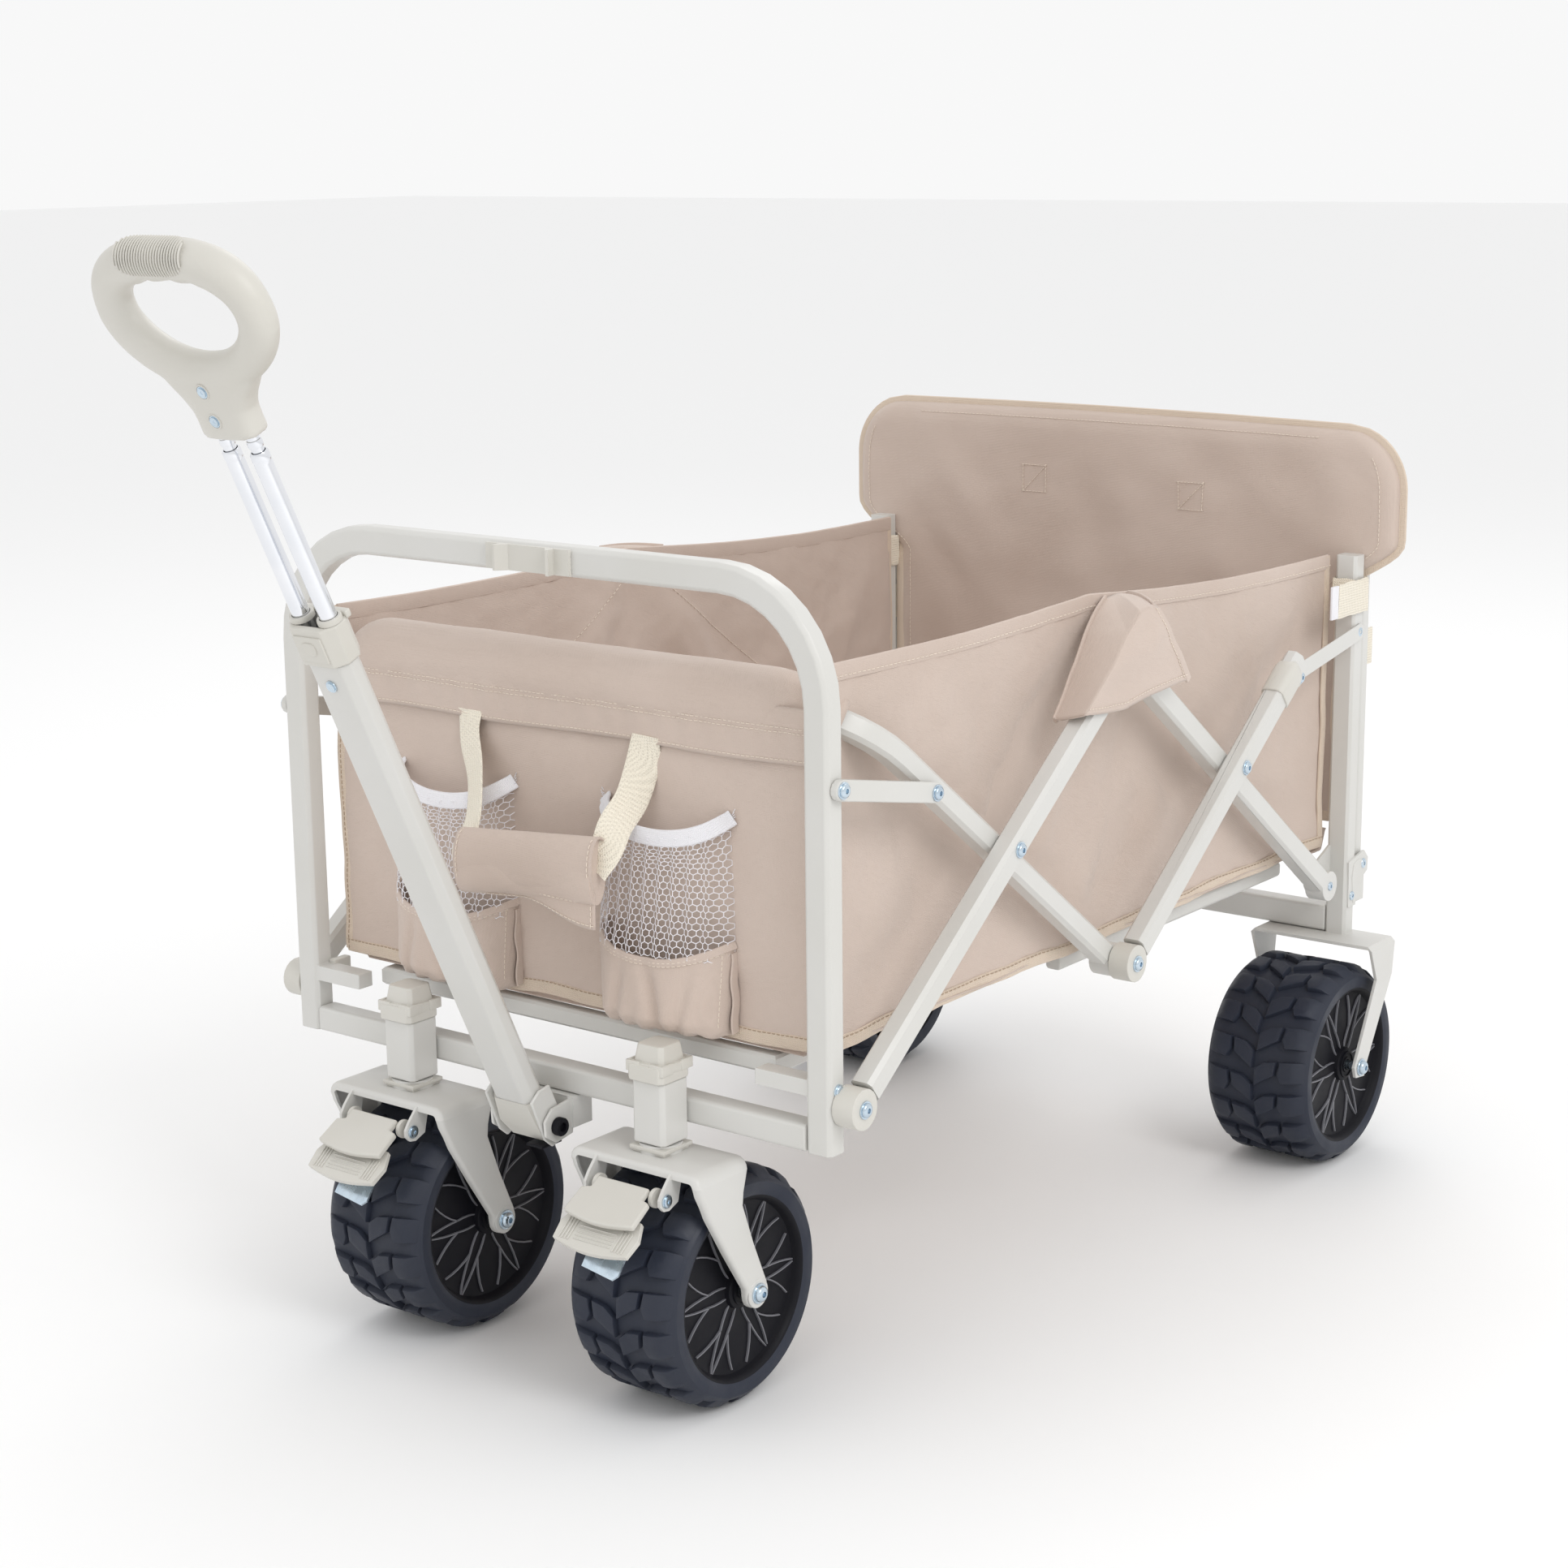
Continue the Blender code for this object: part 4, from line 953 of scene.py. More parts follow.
def carry_handle():
    forward = Vector((1, 0, 0))
    (right_y, right_z), (left_y, left_z) = WRAP_ENDS[-1], WRAP_ENDS[1]

    def flat_fold(piece):
        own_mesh(piece)

    for side, label in SIDES:
        low_y, low_z = WRAP_ENDS[side]
        high_y = side * 0.0850
        corners = [(-0.0225, side * 0.0860, 0.4900), (-0.0200, high_y, 0.4700),
                   (-0.0080, mix(high_y, low_y, 0.45), 0.4460),
                   (0.0100, mix(high_y, low_y, 0.85), low_z + 0.0300),
                   (0.0235, low_y + side * 0.0020, low_z + 0.0120), (0.0275, low_y - side * 0.0040, low_z)]
        path, normals = [], []
        steps = 44
        for i in range(steps + 1):
            t = i / steps * (len(corners) - 1)
            k = min(int(t), len(corners) - 2)
            f = t - k
            p0, p1 = Vector(corners[max(k - 1, 0)]), Vector(corners[k])
            p2, p3 = Vector(corners[k + 1]), Vector(corners[min(k + 2, len(corners) - 1)])
            bend, swing = 2 * p0 - 5 * p1 + 4 * p2 - p3, 3 * p1 - p0 - 3 * p2 + p3
            path.append(at(*(0.5 * (2 * p1 + (p2 - p0) * f + bend * f * f + swing * f ** 3))))
            share = i / steps
            turn = math.radians(58 if side > 0 else -34) * math.sin(math.pi * min(1, share * 1.12)) ** 1.3
            normals.append(Matrix.Rotation(turn, 3, "Z") @ Vector((0.9, 0, 0.43)))
        band = swept(path, oval(0.0125, 0.0009, 12, 0.45), normals)
        strap = build(f"carry_strap_{label}", *band, WEBBING, "bag", "webbing")
        flat_fold(strap)

    def pad_section(share):
        swell = 1 + 0.05 * math.sin(share * 9) + 0.03 * math.sin(share * 23)
        return oval(0.0230 * (1 + 0.02 * math.sin(share * 14)), 0.0092 * swell, 26, 0.85)

    path = [at(0.0268 + 0.0012 * math.sin(i / 6), mix(right_y, left_y - 0.002, i / 48),
               mix(right_z, left_z, i / 48) + 0.0012 * math.sin(i / 9)) for i in range(49)]
    pad = build("carry_pad", *swept(path, pad_section, Vector((0.97, 0, 0.22))), FABRIC, "bag", "fabric",
                angle=50)
    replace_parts(pad, "carry_handle")
    flat_fold(pad)

    def wrap_point(u, v):
        y = mix(right_y - 0.001, left_y, u)
        flare = smooth((u - 0.45) / 0.55)
        turn = math.radians(mix(118, -38, min(1, v / 0.72)))
        base = Vector((0.0268 + 0.0104 * math.cos(turn), y,
                       mix(right_z, left_z, u) + 0.0242 * math.sin(turn)))
        if v > 0.72:
            t = (v - 0.72) / 0.28
            base += Vector((-0.0010 - 0.0040 * t + 0.0060 * flare * t, 0.0010 * flare * t,
                            -(0.0085 + 0.0180 * flare) * t))
        base.x += 0.0012 * ripple(Vector((0, y, v * 0.05)), 30, 4.0)
        return at(*base)

    flap = sheet_of("carry_wrap", wrap_point, 66, 30, FABRIC, "bag", thickness=0.0013)
    flat_fold(flap)
    seams = Batch()
    for v in (0.80, 0.97):
        stitches(seams, line_on(wrap_point, 80, v=v, span=(0.02, 0.98), lift=forward * 0.0010), forward)
    for u in (0.025, 0.975):
        stitches(seams, line_on(wrap_point, 40, u=u, span=(0.10, 0.96), lift=forward * 0.0010), forward)
    sewn = seams.piece("carry_seams", THREAD, "bag", "fabric")
    flat_fold(sewn)


pockets()
carry_handle()


# ---------------------------------------------------------------- floor and tailgate cloth

def floor_pads():
    for end in ("front", "rear"):
        low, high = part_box(f"bed_pad_{end}")
        low.y, high.y = max(low.y, -0.2225), min(high.y, 0.2225)
        size = high - low

        def top_point(u, v):
            x, y = mix(low.x, high.x, u), mix(low.y, high.y, v)
            edge = min(u * size.x, (1 - u) * size.x, v * size.y, (1 - v) * size.y)
            plump = smooth(edge / 0.030)
            seam = min(abs(u - 0.5) * size.x, abs(v - 0.333) * size.y, abs(v - 0.667) * size.y)
            z = high.z - 0.0016 + 0.0016 * plump - 0.0013 * math.exp(-(seam / 0.006) ** 2)
            return Vector((x, y, z + 0.0005 * ripple(Vector((x, y, 0)), 24, 5.0) - 0.0002))

        verts, faces = grid(top_point, 60, 80)
        count = len(verts)
        verts += [Vector((p.x, p.y, low.z)) for p in verts]
        faces += [tuple(count + i for i in face[::-1]) for face in faces]
        ring = list(range(61)) + [61 * j + 60 for j in range(1, 81)]
        ring += [61 * 80 + i for i in range(59, -1, -1)] + [61 * j for j in range(79, 0, -1)]
        faces += [(a, a + count, b + count, b) for a, b in zip(ring, ring[1:] + ring[:1])]
        pad = build(f"floor_pad_{end}", verts, faces, FABRIC, f"bed_{end}", "fabric", angle=50)
        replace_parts(pad, f"bed_pad_{end}")
        seams = Batch()
        up = Vector((0, 0, 1))
        lines = [[top_point(0.5, i / 80) for i in range(2, 79)]]
        lines += [[top_point(i / 60, v) for i in range(2, 59)] for v in (0.333, 0.667)]
        for path in lines:
            stitches(seams, [p + up * 0.0002 for p in path], up, pitch=0.0056, length=0.0036)
        seams.piece(f"floor_seams_{end}", THREAD, f"bed_{end}", "fabric")


def floor_cloth():
    """The basket's own floor below the mats: a half on each board, and strips along the walls."""
    cloths = (("front", "bed_front", -0.0335, -0.3795, 0.2245, "bed_front_frame"),
              ("rear", "bed_rear", -0.3805, -0.7340, 0.2245, "bed_rear_frame"),
              ("end", "rear_frame", -0.7510, -0.7900, 0.2360, "rear_crossbar"))
    for name, body, start, end, half, under in cloths:
        def point(u, v):
            y = mix(-half, half, v)
            side_edge = smooth((abs(y) - half + 0.006) / 0.006) * 0.0080
            end_edge = smooth((u - 0.75) * 4) * 0.0180
            turned_up = end_edge if name == "end" else side_edge
            return at(mix(start, end, u), y, 0.2722 + turned_up + 0.0006 * ripple(Vector((u, y, 0)), 12, 3.0))

        cloth = sheet_of(f"floor_cloth_{name}", point, 30, 60, FABRIC, body)
    for side, label in SIDES:
        def point(u, v):
            return at(mix(-0.036, -0.774, u), side * mix(BAG_HALF, 0.2260, v),
                      0.2790 + 0.0008 * math.sin(40 * u))

        strip = sheet_of(f"floor_strip_{label}", point, 120, 4, FABRIC, "bag")
        fold_up(strip)


GATE_X = -0.7985


def gate_half(z):
    """Half width of the tailgate cloth at a height."""
    top, radius = 0.6500, 0.052
    half = mix(0.2385, 0.2905, smooth((z - 0.505) / 0.048))
    over = max(0.0, z - (top - radius)) / radius
    return half - radius * (1 - math.sqrt(max(0.0, 1 - min(1.0, over) ** 2)))


def gate_point(layer):
    def point(u, v):
        low = 0.2960 if layer == "front" else 0.5300
        z = mix(low, 0.6500, 1 - (1 - v) ** 1.15)
        y = mix(-1, 1, u) * gate_half(z)
        edge = min(1.0, (1 - abs(2 * u - 1)) * gate_half(z) / 0.020)
        top = min(1.0, max(0.0, (0.6500 - z) / 0.020))
        full = math.sqrt(max(0.0, edge * (2 - edge))) * math.sqrt(top * (2 - top))
        spread = smooth((z - 0.490) / 0.06)
        seam_x = mix(GATE_X, -0.8075, spread)
        if layer == "front":
            x = mix(seam_x, GATE_X + 0.0018, full)
            loose = math.sin(math.pi * u) * math.sin(math.pi * min(1, max(0, (z - 0.30) / 0.34)))
            x += 0.0060 * ripple(Vector((0, y, z)), 7, 2.6) * loose
            x += 0.0018 * ripple(Vector((0, y, z)), 24, 8.0) * full
            x += fold_depth((y, z), GATE_FOLDS) * full
        else:
            x = mix(seam_x, -0.8185, full) + 0.0012 * ripple(Vector((0, y, z)), 16, 1.0) * full
        swell = 0.0020 * math.sin(math.pi * u) * smooth((z - 0.6) / 0.05)
        z += 0.0035 * (0.5 - u) * smooth((z - 0.5) / 0.1) + swell
        return at(x, y, z)
    return point


GATE_FOLDS = (((-0.20, 0.620), (-0.12, 0.500), 0.020, 0.0040),
              ((0.255, 0.610), (0.200, 0.520), 0.022, 0.0042),
              ((-0.05, 0.600), (0.02, 0.470), 0.026, -0.0032), ((0.11, 0.560), (0.16, 0.430), 0.024, 0.0036),
              ((-0.235, 0.560), (-0.16, 0.470), 0.018, -0.0030))


def tailgate_cloth():
    front = sheet_of("gate_panel", gate_point("front"), 130, 90, FABRIC, "tailgate")
    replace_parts(front, "gate_cloth")
    back = sheet_of("gate_sleeve", gate_point("back"), 110, 36, FABRIC, "tailgate")
    point = gate_point("front")
    outline = line_on(point, 60, u=0.0)[:-1] + line_on(point, 90, v=1.0) + line_on(point, 60, u=1.0)[::-1][1:]
    forward = Vector((1, 0, 0))
    trim = tape("gate_binding", outline, forward, "tailgate", width=0.011, thick=0.0042)
    hem = tape("gate_hem", line_on(point, 80, v=0.0, lift=Vector((0, 0, 0.004))), forward, "tailgate",
               width=0.010)
    sleeve_hem = tape("gate_sleeve_hem", line_on(gate_point("back"), 80, v=0.0), -forward, "tailgate",
                      width=0.010)
    seams = Batch()

    def on_panel(y, z):
        v = 1 - (1 - (z - 0.2960) / (0.6500 - 0.2960)) ** (1 / 1.15)
        return point((y / gate_half(z) + 1) / 2, v) + forward * 0.0010

    for y, z in ((-0.083, 0.586), (0.087, 0.581)):
        h = 0.0125
        square = [(-h, -h), (h, -h), (h, h), (-h, h), (-h, -h), (h, h)]
        for (a, b), (c, d) in zip(square, square[1:]):
            path = [on_panel(y + mix(a, c, i / 8), z + mix(b, d, i / 8)) for i in range(9)]
            stitches(seams, path, forward, 0.0034, 0.0024)
    for u in (0.026, 0.974):
        stitches(seams, line_on(point, 61, u=u, span=(2 / 70, 63 / 70), lift=forward * 0.0010), forward)
    stitches(seams, line_on(point, 90, v=0.962, span=(0.10, 0.90), lift=forward * 0.0010), forward)
    sewn = seams.piece("gate_seams", THREAD, "tailgate", "fabric")


def ribbon_loop(name, x, y, z, half_w, body, tail, side):
    """A band of webbing round an upright, with a tail standing off one corner."""
    x0, x1 = x
    y0, y1 = y
    r, far = 0.0016, 0.0030
    turns = ((x1 + tail, y1 + far), (x1 + r, y1 + far), (x0 - r, y1 + far), (x0 - r, y0 - r),
             (x1 + r, y0 - r), (x1 + r, y1 + r * 0.2))
    corners = [Vector((a, side * b, z)) for a, b in turns]
    path, normals = [], []
    for a, b in zip(corners, corners[1:]):
        along = (b - a).normalized()
        out = Vector((along.y, -along.x, 0)) * side
        for k in range(7):
            spot = mix(a, b, mix(0.06, 0.94, k / 6))
            path.append(at(spot.x, spot.y, spot.z + 0.0004 * math.sin(5 * k)))
            normals.append(out)
    return build(name, *swept(path, oval(half_w, 0.0008, 12, 0.45), normals), WEBBING, body, "webbing")


def straps():
    for side, label in SIDES:
        ribbon_loop(f"post_strap_{label}", (-0.797, -0.779), (0.243, 0.263), 0.5060, 0.0150, "rear_frame",
                    0.040, side)
        ribbon_loop(f"gate_tab_{label}", (-0.8165, -0.8005), (0.236, 0.252), 0.4540, 0.0165, "tailgate", 0.0,
                    side)
        tab = block(at(-0.8250, side * 0.2538, 0.4540), (0.016, 0.0018, 0.033), None, 0.0005)
        build(f"gate_tab_end_{label}", *tab, WEBBING, "tailgate", "webbing")
        hook = block(at(-0.7340, side * 0.2660, 0.5060), (0.012, 0.0024, 0.0290), None, 0.0006)
        build(f"post_strap_hook_{label}", *hook, ELASTIC, "rear_frame", "webbing")


floor_pads()
floor_cloth()
tailgate_cloth()
straps()


# ---------------------------------------------------------------- pull handle

HANDLE_DIR = Vector((0.4274, 0, 0.9041))
HANDLE_SIDE = Vector((0.9041, 0, -0.4274))
HANDLE_TURN = Matrix((HANDLE_SIDE, (0, 1, 0), HANDLE_DIR)).transposed()
ROD_Y = 0.0131
GRIP_LOW, GRIP_HIGH = 0.6325, 0.7110  # centre lines of the loop's lower and upper bars, along the handle


def on_handle(s, y=0.0, forward=0.0):
    return JOINTS["handle_pitch"] + HANDLE_DIR * s + Vector((0, y, 0)) + HANDLE_SIDE * forward


def grip_path(steps=84):
    """Centre line of the grip's loop, wide at the top and drawn in towards the stem."""
    path = []
    middle, half = (GRIP_LOW + GRIP_HIGH) / 2, (GRIP_HIGH - GRIP_LOW) / 2
    for i in range(steps):
        t = 2 * math.pi * i / steps
        c, s = math.cos(t), math.sin(t)
        width = 0.0640 if s > 0 else mix(0.0640, 0.0540, -s)
        power = 0.80 if s > 0 else 0.92
        path.append((middle + half * math.copysign(abs(s) ** power, s),
                     width * math.copysign(abs(c) ** power, c)))
    return path


def grip():
    loop = [on_handle(s, y) for s, y in grip_path()]
    rings = []
    for point, (_, normal, across), (s, y) in zip(loop, frames_along(loop, HANDLE_SIDE), grip_path()):
        top = smooth((s - 0.680) / 0.025)
        finger = 0.0010 * math.sin(y * 260) * top * smooth((0.040 - abs(y)) / 0.01)
        rings.append([point + across * (a + (finger if (across * a).dot(HANDLE_DIR) < 0 else 0)) + normal * b
                      for a, b in oval(mix(0.0130, 0.0140, top), mix(0.0125, 0.0138, top), 20)])
    shape = Batch().add(loft(rings, closed=True))
    sizes = ((0.5880, 0.0240, 0.0118), (0.5900, 0.0246, 0.0124), (0.5980, 0.0240, 0.0126),
             (0.6070, 0.0245, 0.0127), (0.6160, 0.0300, 0.0128), (0.6260, 0.0390, 0.0126),
             (0.6360, 0.0470, 0.0110))
    shape.add(loft([[on_handle(s, a, b) for a, b in oval(w, d, 28, 0.62)] for s, w, d in sizes]))
    made = shape.piece("grip_body", PLASTIC, "grip", "cream_plastic", angle=0)
    modifier(made, "REMESH", mode="VOXEL", voxel_size=0.0019, use_smooth_shade=True)
    modifier(made, "SMOOTH", factor=0.5, iterations=9)
    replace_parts(made, "grip")

    ribs = Batch()
    for k in range(25):
        y = mix(-0.0300, 0.0300, k / 24)
        reach = math.radians(62 - 30 * (abs(y) / 0.030) ** 6)
        arc = []
        for i in range(13):
            t = math.radians(38) + mix(-reach, reach, i / 12)
            arc.append(on_handle(GRIP_HIGH + 0.0142 * math.sin(t), y, 0.0140 * math.cos(t)))
        normals = [(p - on_handle(GRIP_HIGH, y)).normalized() for p in arc]
        ribs.add(swept(arc, oval(0.0007, 0.0007, 8), normals))
    ribs.piece("grip_ribs", PLASTIC, "grip", "cream_plastic")

    screws, cups = Batch(), Batch()
    cup = [(0.0042, 0.0), (0.0056, 0.0), (0.0056, 0.0010), (0.0046, 0.0012), (0.0042, 0.0004), (0.0042, 0.0)]
    for s in (0.6030, 0.6240):
        bolt_head(screws, on_handle(s, 0, 0.0118), HANDLE_SIDE, 0.0044, 0.0014)
        cups.add(turned(on_handle(s, 0, 0.0120), HANDLE_SIDE, cup, 24))
    screws.piece("grip_screws", ZINC, "grip", "zinc")
    cups.piece("grip_screw_rings", PLASTIC, "grip", "cream_plastic")

    rods = Batch()
    collar = [(0.0040, 0.0), (0.0049, 0.0004), (0.0052, 0.0020), (0.0052, 0.0040), (0.0049, 0.0056),
              (0.0040, 0.0060), (0.0040, 0.0)]
    for y in (ROD_Y, -ROD_Y):
        rods.add(rod(on_handle(0.410, y), HANDLE_DIR, 0.0043, 0.0, 0.196, 28))
        rods.add(turned(on_handle(0.578, y), HANDLE_DIR, collar, 24))
    rods.piece("upper_rods", CHROME, "grip", "chrome")


def handle_parts():
    rods = Batch()
    for y in (ROD_Y, -ROD_Y):
        wall = [(0.0049, 0.0), (0.0062, 0.0), (0.0062, 0.2915), (0.0060, 0.2925), (0.0064, 0.2940),
                (0.0064, 0.2985), (0.0057, 0.3000), (0.0049, 0.3000), (0.0049, 0.0)]
        rods.add(turned(on_handle(0.275, y), HANDLE_DIR, wall, 32))
    rods.add(block(on_handle(0.2695), (0.0150, 0.0355, 0.0170), HANDLE_TURN, 0.003))
    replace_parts(rods.piece("lower_rods_chrome", CHROME, "lower_rods", "chrome"), "handle_lower_rods")

    guides = Batch()
    ring = [(0.0067, 0.0), (0.0088, 0.0), (0.0088, 0.0030), (0.0084, 0.0040), (0.0067, 0.0040), (0.0067, 0.0)]
    for y in (ROD_Y, -ROD_Y):
        guides.add(turned(on_handle(0.4452, y), HANDLE_DIR, ring, 28))
    guides.add(block(on_handle(0.4455, 0, -0.0104), (0.0052, 0.0420, 0.0060), HANDLE_TURN, 0.0015))
    guides.add(block(on_handle(0.4300, 0, 0.0140), (0.0020, 0.0260, 0.0200), HANDLE_TURN, 0.0008))
    guides.piece("collar_guides", PLASTIC, "handle", "cream_plastic")
    marks = Batch()
    bolt_head(marks, on_handle(0.398, 0.0, 0.0101), HANDLE_SIDE, 0.0045, 0.0020, socket=False)
    marks.piece("tube_rivet", ZINC, "handle", "zinc")

    clevis = Batch()
    for side in (1, -1):
        outline = [(-0.0150, -0.0110), (0.0300, -0.0110), (0.0330, 0.0), (0.0300, 0.0110), (-0.0050, 0.0125),
                   (-0.0150, 0.0080)]
        clevis.add(prism(outline, lambda a, b, h: on_handle(a, side * (0.0213 + h), b), 0.0025))
    plate = clevis.piece("handle_clevis", PAINT, "handle", "cream_paint", angle=30)
    bevel(plate, 0.0009)

    bolts, coil = Batch(), []
    pivot = JOINTS["handle_pitch"]
    for side in (1, -1):
        head = [(0.0, 0.0), (0.0068, 0.0), (0.0070, 0.0010), (0.0070, 0.0048), (0.0062, 0.0058),
                (0.0036, 0.0058), (0.0034, 0.0030), (0.0, 0.0028)]
        bolts.add(turned(pivot + Vector((0, side * 0.0279, 0)), (0, side, 0), head, 24))
    bolts.add(rod(pivot, (0, 1, 0), 0.0040, -0.0279, 0.0279, 20))
    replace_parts(bolts.piece("pivot_bolt_black", BLACK, "frame", "black_plastic"), "handle_pivot_bolt")
    for i in range(121):
        share = i / 120
        angle = share * 2 * math.pi * 7
        turn = Vector((0.0062 * math.cos(angle), mix(-0.014, 0.014, share), 0.0062 * math.sin(angle)))
        coil.append(pivot + turn - Vector((0.016, 0, 0.002)))
    build("handle_spring", *swept(coil, oval(0.0009, 0.0009, 7)), BLACK, "frame", "black_plastic")
    stop = block(pivot + Vector((-0.002, 0.012, -0.0165)), (0.022, 0.016, 0.0022), None, 0.0006)
    build("handle_stop", *stop, BLACK, "frame", "black_plastic")


grip()
handle_parts()


# ---------------------------------------------------------------- castors and brakes

CASTOR_Y, STEM_X, CASTOR_AXLE_X = 0.1245, 0.0153, -0.0187


def pedal(side, label):
    """The brake's flap, ribbed foot plate and tongue, with its bosses and screws."""
    y0 = side * CASTOR_Y
    foot, screws, bosses = Batch(), Batch(), Batch()

    def slope(x, z, run, fall):
        along = Vector((run, 0, -fall)).normalized()
        lift = Vector((-along.z, 0, along.x))
        return lambda a, b, h: at(x, y0 + a, z) + along * b + lift * h

    curve = [(mix(0.0320, -0.0320, i / 12), 0.0345 + 0.0045 * math.sin(math.pi * i / 12)) for i in range(13)]
    outline = [(-0.0235, 0.0), (-0.0235, 0.0100), (-0.0310, 0.0120), (-0.0320, 0.0330)] + curve[::-1]
    outline += [(0.0320, 0.0330), (0.0310, 0.0120), (0.0235, 0.0100), (0.0235, 0.0)]
    shape = prism(outline, slope(0.0545, 0.1810, 0.86, 0.52), 0.0050)
    flap = build(f"pedal_flap_{label}", *shape, PLASTIC, f"brake_{label}", "cream_plastic", angle=30)
    bevel(flap, 0.0014, 3, 40)
    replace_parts(flap, f"brake_pedal_{label}")

    place = slope(0.0760, 0.1590, 0.80, 0.60)
    curve = [(mix(0.0340, -0.0340, i / 12), 0.0225 + 0.0050 * math.sin(math.pi * i / 12)) for i in range(13)]
    outline = [(-0.0300, -0.0060), (-0.0360, 0.0080)] + curve[::-1] + [(0.0360, 0.0080), (0.0300, -0.0060)]
    foot.add(prism(outline, place, 0.0040))
    ribs = [(a - 0.0006, a + 0.0006, 0.0040, 0.0215, 0.0011)
            for a in (-0.0290, -0.0262, -0.0234, -0.0206, 0.0206, 0.0234, 0.0262, 0.0290)]
    ribs += [(-0.0170, 0.0170, b - 0.0005, b + 0.0005, 0.0009)
             for b in (0.0080, 0.0108, 0.0136, 0.0164, 0.0192)]
    for left, right, near, far, height in ribs:
        foot.add(prism([(left, near), (right, near), (right, far), (left, far)],
                       lambda a, b, h: place(a, b, 0.0038 + h), height))
    plate = foot.piece(f"pedal_foot_{label}", PLASTIC, f"brake_{label}", "cream_plastic", angle=30)
    bevel(plate, 0.0004)

    tongue = prism([(-0.0130, -0.010), (0.0210, -0.010), (0.0210, 0.0300), (0.0170, 0.0340),
                    (-0.0130, 0.0300)], slope(0.0700, 0.1520, 0.62, 0.78), 0.0016)
    build(f"brake_tongue_{label}", *tongue, ZINC, f"brake_{label}", "zinc")

    boss = [(0.0, -0.0016), (0.0070, -0.0016), (0.0072, 0.0), (0.0070, 0.0016), (0.0, 0.0016)]
    for way in (1, -1):
        bosses.add(turned(at(0.0530, y0 + way * 0.0262, 0.1775), (0, way, 0), boss, 24))
        bolt_head(screws, at(0.0530, y0 + way * 0.0358, 0.1770), (0, way, 0), 0.0050, 0.0022)
    bosses.piece(f"pedal_bosses_{label}", PLASTIC, f"brake_{label}", "cream_plastic")
    screws.piece(f"pedal_screws_{label}", ZINC, f"castor_{label}", "zinc")


def castor_details(side, label):
    """The notched ring round the socket's cap, and the plates of the swivel bearing."""
    middle, width = Vector((STEM_X, side * CASTOR_Y, 0)), 0.0340
    ring = Batch()
    for axis, way in ((0, 1), (0, -1), (1, 1), (1, -1)):
        for half in (-1, 1):
            size, offset = Vector((0.0022, 0.0022, 0.0080)), Vector((0, 0, 0.2625))
            size[axis] = width * 0.36
            offset[axis] = half * width * 0.32
            offset[1 - axis] = way * 0.0162
            ring.add(block(at(*(middle + offset)), size, None, 0.0006))
    ring.add(block(at(*middle.xy, 0.2622), (0.0334, 0.0334, 0.0070), None, 0.0006))
    ring.piece(f"cap_ring_{label}", PLASTIC, "frame", "cream_plastic")
    plate = Batch().add(block(at(*middle.xy, 0.2012), (0.0325, 0.0325, 0.0030), None, 0.0006))
    plate.add(block(at(*middle.xy, 0.1986), (0.0290, 0.0290, 0.0020), None, 0.0004))
    plate.piece(f"bearing_plate_{label}", PLASTIC, f"castor_{label}", "cream_plastic")


def arc_points(x, y, radius, degrees):
    """Points of an arc round (x, y), from straight up towards +x."""
    turns = [math.radians(t) for t in degrees]
    return [(x + radius * math.sin(t), y + radius * math.cos(t)) for t in turns]


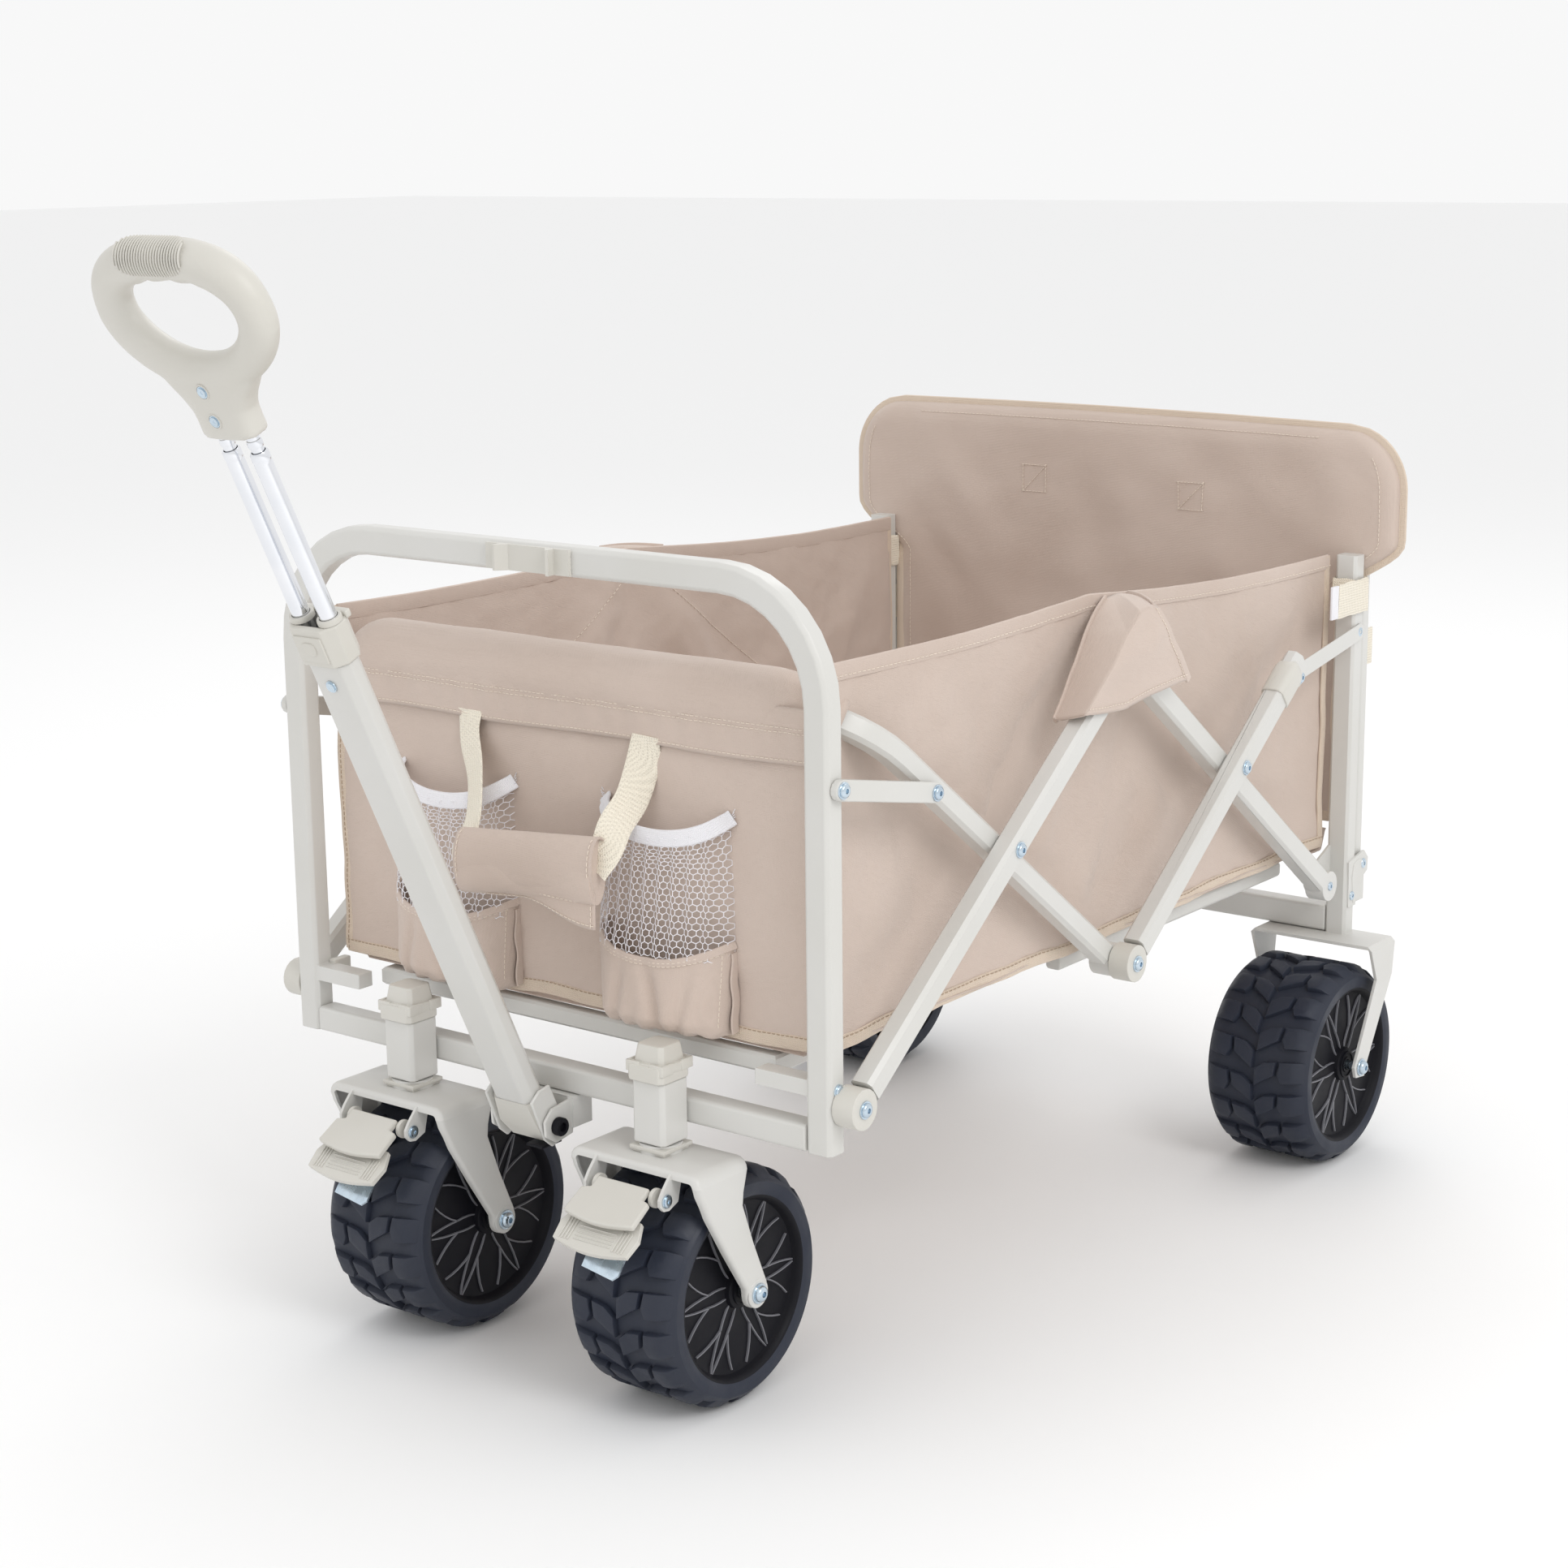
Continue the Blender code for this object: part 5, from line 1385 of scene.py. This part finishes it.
def fork(side, label):
    """Pressed fork with rolled edges, its brake ears and the bearing stem."""
    y0, half, top, thick, lip, r, bend = side * CASTOR_Y, 0.0605, 0.1975, 0.0024, 0.0062, 0.0036, 0.0095
    leg = [(0.0802, CASTOR_AXLE_X, 0.0062), (0.0825, CASTOR_AXLE_X, 0.0092), (0.0860, CASTOR_AXLE_X, 0.0112),
           (0.0900, CASTOR_AXLE_X, 0.0120), (0.0960, CASTOR_AXLE_X + 0.0004, 0.0123),
           (0.1300, 0.0000, 0.0160), (0.1620, 0.0155, 0.0198), (0.1720, 0.0172, 0.0225),
           (0.1810, 0.0183, 0.0262), (0.1880, 0.0185, 0.0283)]
    stations = [(-half, z, 180, x, w) for z, x, w in leg]
    for t in (0, 22, 45, 68, 90):
        c, s = math.cos(math.radians(t)), math.sin(math.radians(t))
        stations.append((-half + bend * (1 - c), top - bend * (1 - s), 180 - t, 0.0185, 0.0285))
    stations += [(-y, z, 180 - turn, x, w) for y, z, turn, x, w in stations[::-1]]
    rings = []
    for y, z, turn, x, w in stations:
        out = Vector((0, math.cos(math.radians(turn)), math.sin(math.radians(turn))))
        q = r - thick * 0.6
        right = arc_points(w - r, -r, r, (0, 30, 60, 90)) + [(w, -lip), (w - thick, -lip)]
        right += arc_points(w - thick - q, -thick - q, q, (90, 45, 0))
        outline = [(-a, b) for a, b in right[5::-1][1:]] + right + [(-a, b) for a, b in right[:5:-1]]
        outline.append((-w + thick, -lip))
        rings.append([at(x + a, y0 + y, z) + out * b for a, b in outline])
    shape = Batch().add(loft(rings))
    for way in (1, -1):
        disc = [(0.0, 0.0), (0.0102, 0.0), (0.0112, 0.0008), (0.0112, 0.0024), (0.0106, 0.0030),
                (0.0, 0.0030)]
        shape.add(turned(at(CASTOR_AXLE_X, y0 + way * 0.0578, 0.0900), (0, way, 0), disc, 28))
        ear = [(0.0340, 0.1965), (0.0460, 0.1960), (0.0560, 0.1850), (0.0600, 0.1790), (0.0598, 0.1740),
               (0.0560, 0.1700), (0.0500, 0.1690), (0.0400, 0.1730)]
        shape.add(prism(ear, lambda a, b, h: at(a, y0 + way * (0.0333 + h), b), 0.0024))
    shape.add(rod(at(STEM_X, y0, 0.1955), (0, 0, 1), 0.0160, 0.0, 0.0088, 32))
    made = shape.piece(f"fork_pressing_{label}", PAINT, f"castor_{label}", "cream_paint", angle=35)
    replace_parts(made, f"castor_fork_{label}")


def arm_caps():
    """Moulded caps on the upper ends of the rear arms, with the lug that carries the link."""
    caps = Batch()
    tip, root = Vector((-0.6338, 0, 0.4578)), Vector((-0.5505, 0, 0.3955))
    along = (tip - root).normalized()
    for side, _ in SIDES:
        mid = Vector((0, side * 0.2743, 0))
        rings = [(-0.026, 1.0), (-0.0255, 1.05), (0.002, 1.05), (0.0070, 0.98), (0.0105, 0.82),
                 (0.0125, 0.55), (0.0130, 0.20)]
        path = [at(*(tip + along * s + mid)) for s, _ in rings]
        sections = [[(a * size, b * size) for a, b in oval(0.0114, 0.0102, 24, 0.55)] for _, size in rings]
        last = len(sections) - 1
        caps.add(swept(path, lambda share: sections[round(share * last)], Vector((0, side, 0))))
        lug = [(-0.6400, 0.4660), (-0.6640, 0.4600), (-0.6700, 0.4570), (-0.6722, 0.4520), (-0.6700, 0.4468),
               (-0.6640, 0.4440), (-0.6440, 0.4410), (-0.6360, 0.4440)]
        caps.add(prism(lug, lambda a, b, h: at(a, side * (0.2654 + h), b), 0.0058))
    made = caps.piece("rear_arm_caps", PLASTIC, "rear_upper_arms", "cream_plastic", angle=35)
    bevel(made, 0.0008, 2, 50)


for side, label in SIDES:
    fork(side, label)
    pedal(side, label)
    castor_details(side, label)
arm_caps()


def small_fittings():
    """The lugs that the floor hangs on, and the plates of the tailgate's hinge."""
    lugs, steel = Batch(), Batch()
    head = [(0.0, 0.0), (0.0046, 0.0), (0.0040, 0.0018), (0.0, 0.0020)]
    for side, _ in SIDES:
        lugs.add(block(at(-0.0225, side * 0.2395, 0.2620), (0.018, 0.007, 0.018), None, 0.0012))
        steel.add(turned(at(-0.0130, side * 0.2395, 0.2620), (1, 0, 0), head, 20))
    lugs.piece("bed_lugs", PLASTIC, "frame", "cream_plastic")
    steel.piece("bed_lug_screws", ZINC, "frame", "zinc")
    for side, label in SIDES:
        outline = [(-0.0300, -0.0100), (0.0060, -0.0100), (0.0090, 0.0), (0.0060, 0.0100), (-0.0060, 0.0130),
                   (-0.0300, 0.0100)]
        plate = prism(outline, lambda a, b, h: at(-0.8000 + b, side * (0.2636 + h), 0.2550 + a), 0.0018)
        made = build(f"hinge_plate_{label}", *plate, PAINT, "rear_frame", "cream_paint", angle=30)
        bevel(made, 0.0006)


small_fittings()


# ---------------------------------------------------------------- stage

def stage():
    floor = build("floor", [(-30, -30, 0), (30, -30, 0), (30, 30, 0), (-30, 30, 0)], [(0, 1, 2, 3)], FLOOR,
                  None, angle=0)
    world = bpy.data.worlds.new("studio")
    world.use_nodes = True
    world.node_tree.nodes["Background"].inputs["Color"].default_value = (1.0, 1.0, 1.0, 1.0)
    world.node_tree.nodes["Background"].inputs["Strength"].default_value = 0.94
    bpy.context.scene.world = world
    bpy.context.scene.view_settings.view_transform = "Standard"
    for name, place, aim, size, power in (
            ("key", (0.9, 2.9, 2.7), (-0.1, 0, 0.3), 1.5, 36),
            ("fill", (3.0, -1.8, 1.6), (0, 0, 0.3), 2.4, 3),
            ("back", (-2.4, -1.2, 3.0), (-0.2, 0, 0.4), 1.8, 16)):
        light = bpy.data.objects.new(name, bpy.data.lights.new(name, "AREA"))
        light.data.energy, light.data.size = power, size
        light.location = place
        light.rotation_euler = (Vector(aim) - Vector(place)).to_track_quat("-Z", "Y").to_euler()
        bpy.context.collection.objects.link(light)


def camera():
    forward = Vector((-0.77207, -0.59618, -0.22015)).normalized()
    right = Vector((-0.60913, 0.79299, -0.01125)).normalized()
    up = right.cross(forward).normalized()
    made = bpy.data.objects.new("camera", bpy.data.cameras.new("camera"))
    made.data.lens, made.data.sensor_width = 66.6, 36.0
    turn = Matrix((right, up, -forward)).transposed()
    made.matrix_world = Matrix.Translation((1.7694, 1.4056, 0.9118)) @ turn.to_4x4()
    bpy.context.collection.objects.link(made)
    bpy.context.scene.camera = made


FLOOR = Finish("floor_paper", (0.93, 0.93, 0.93), 0.85).material
stage()
camera()
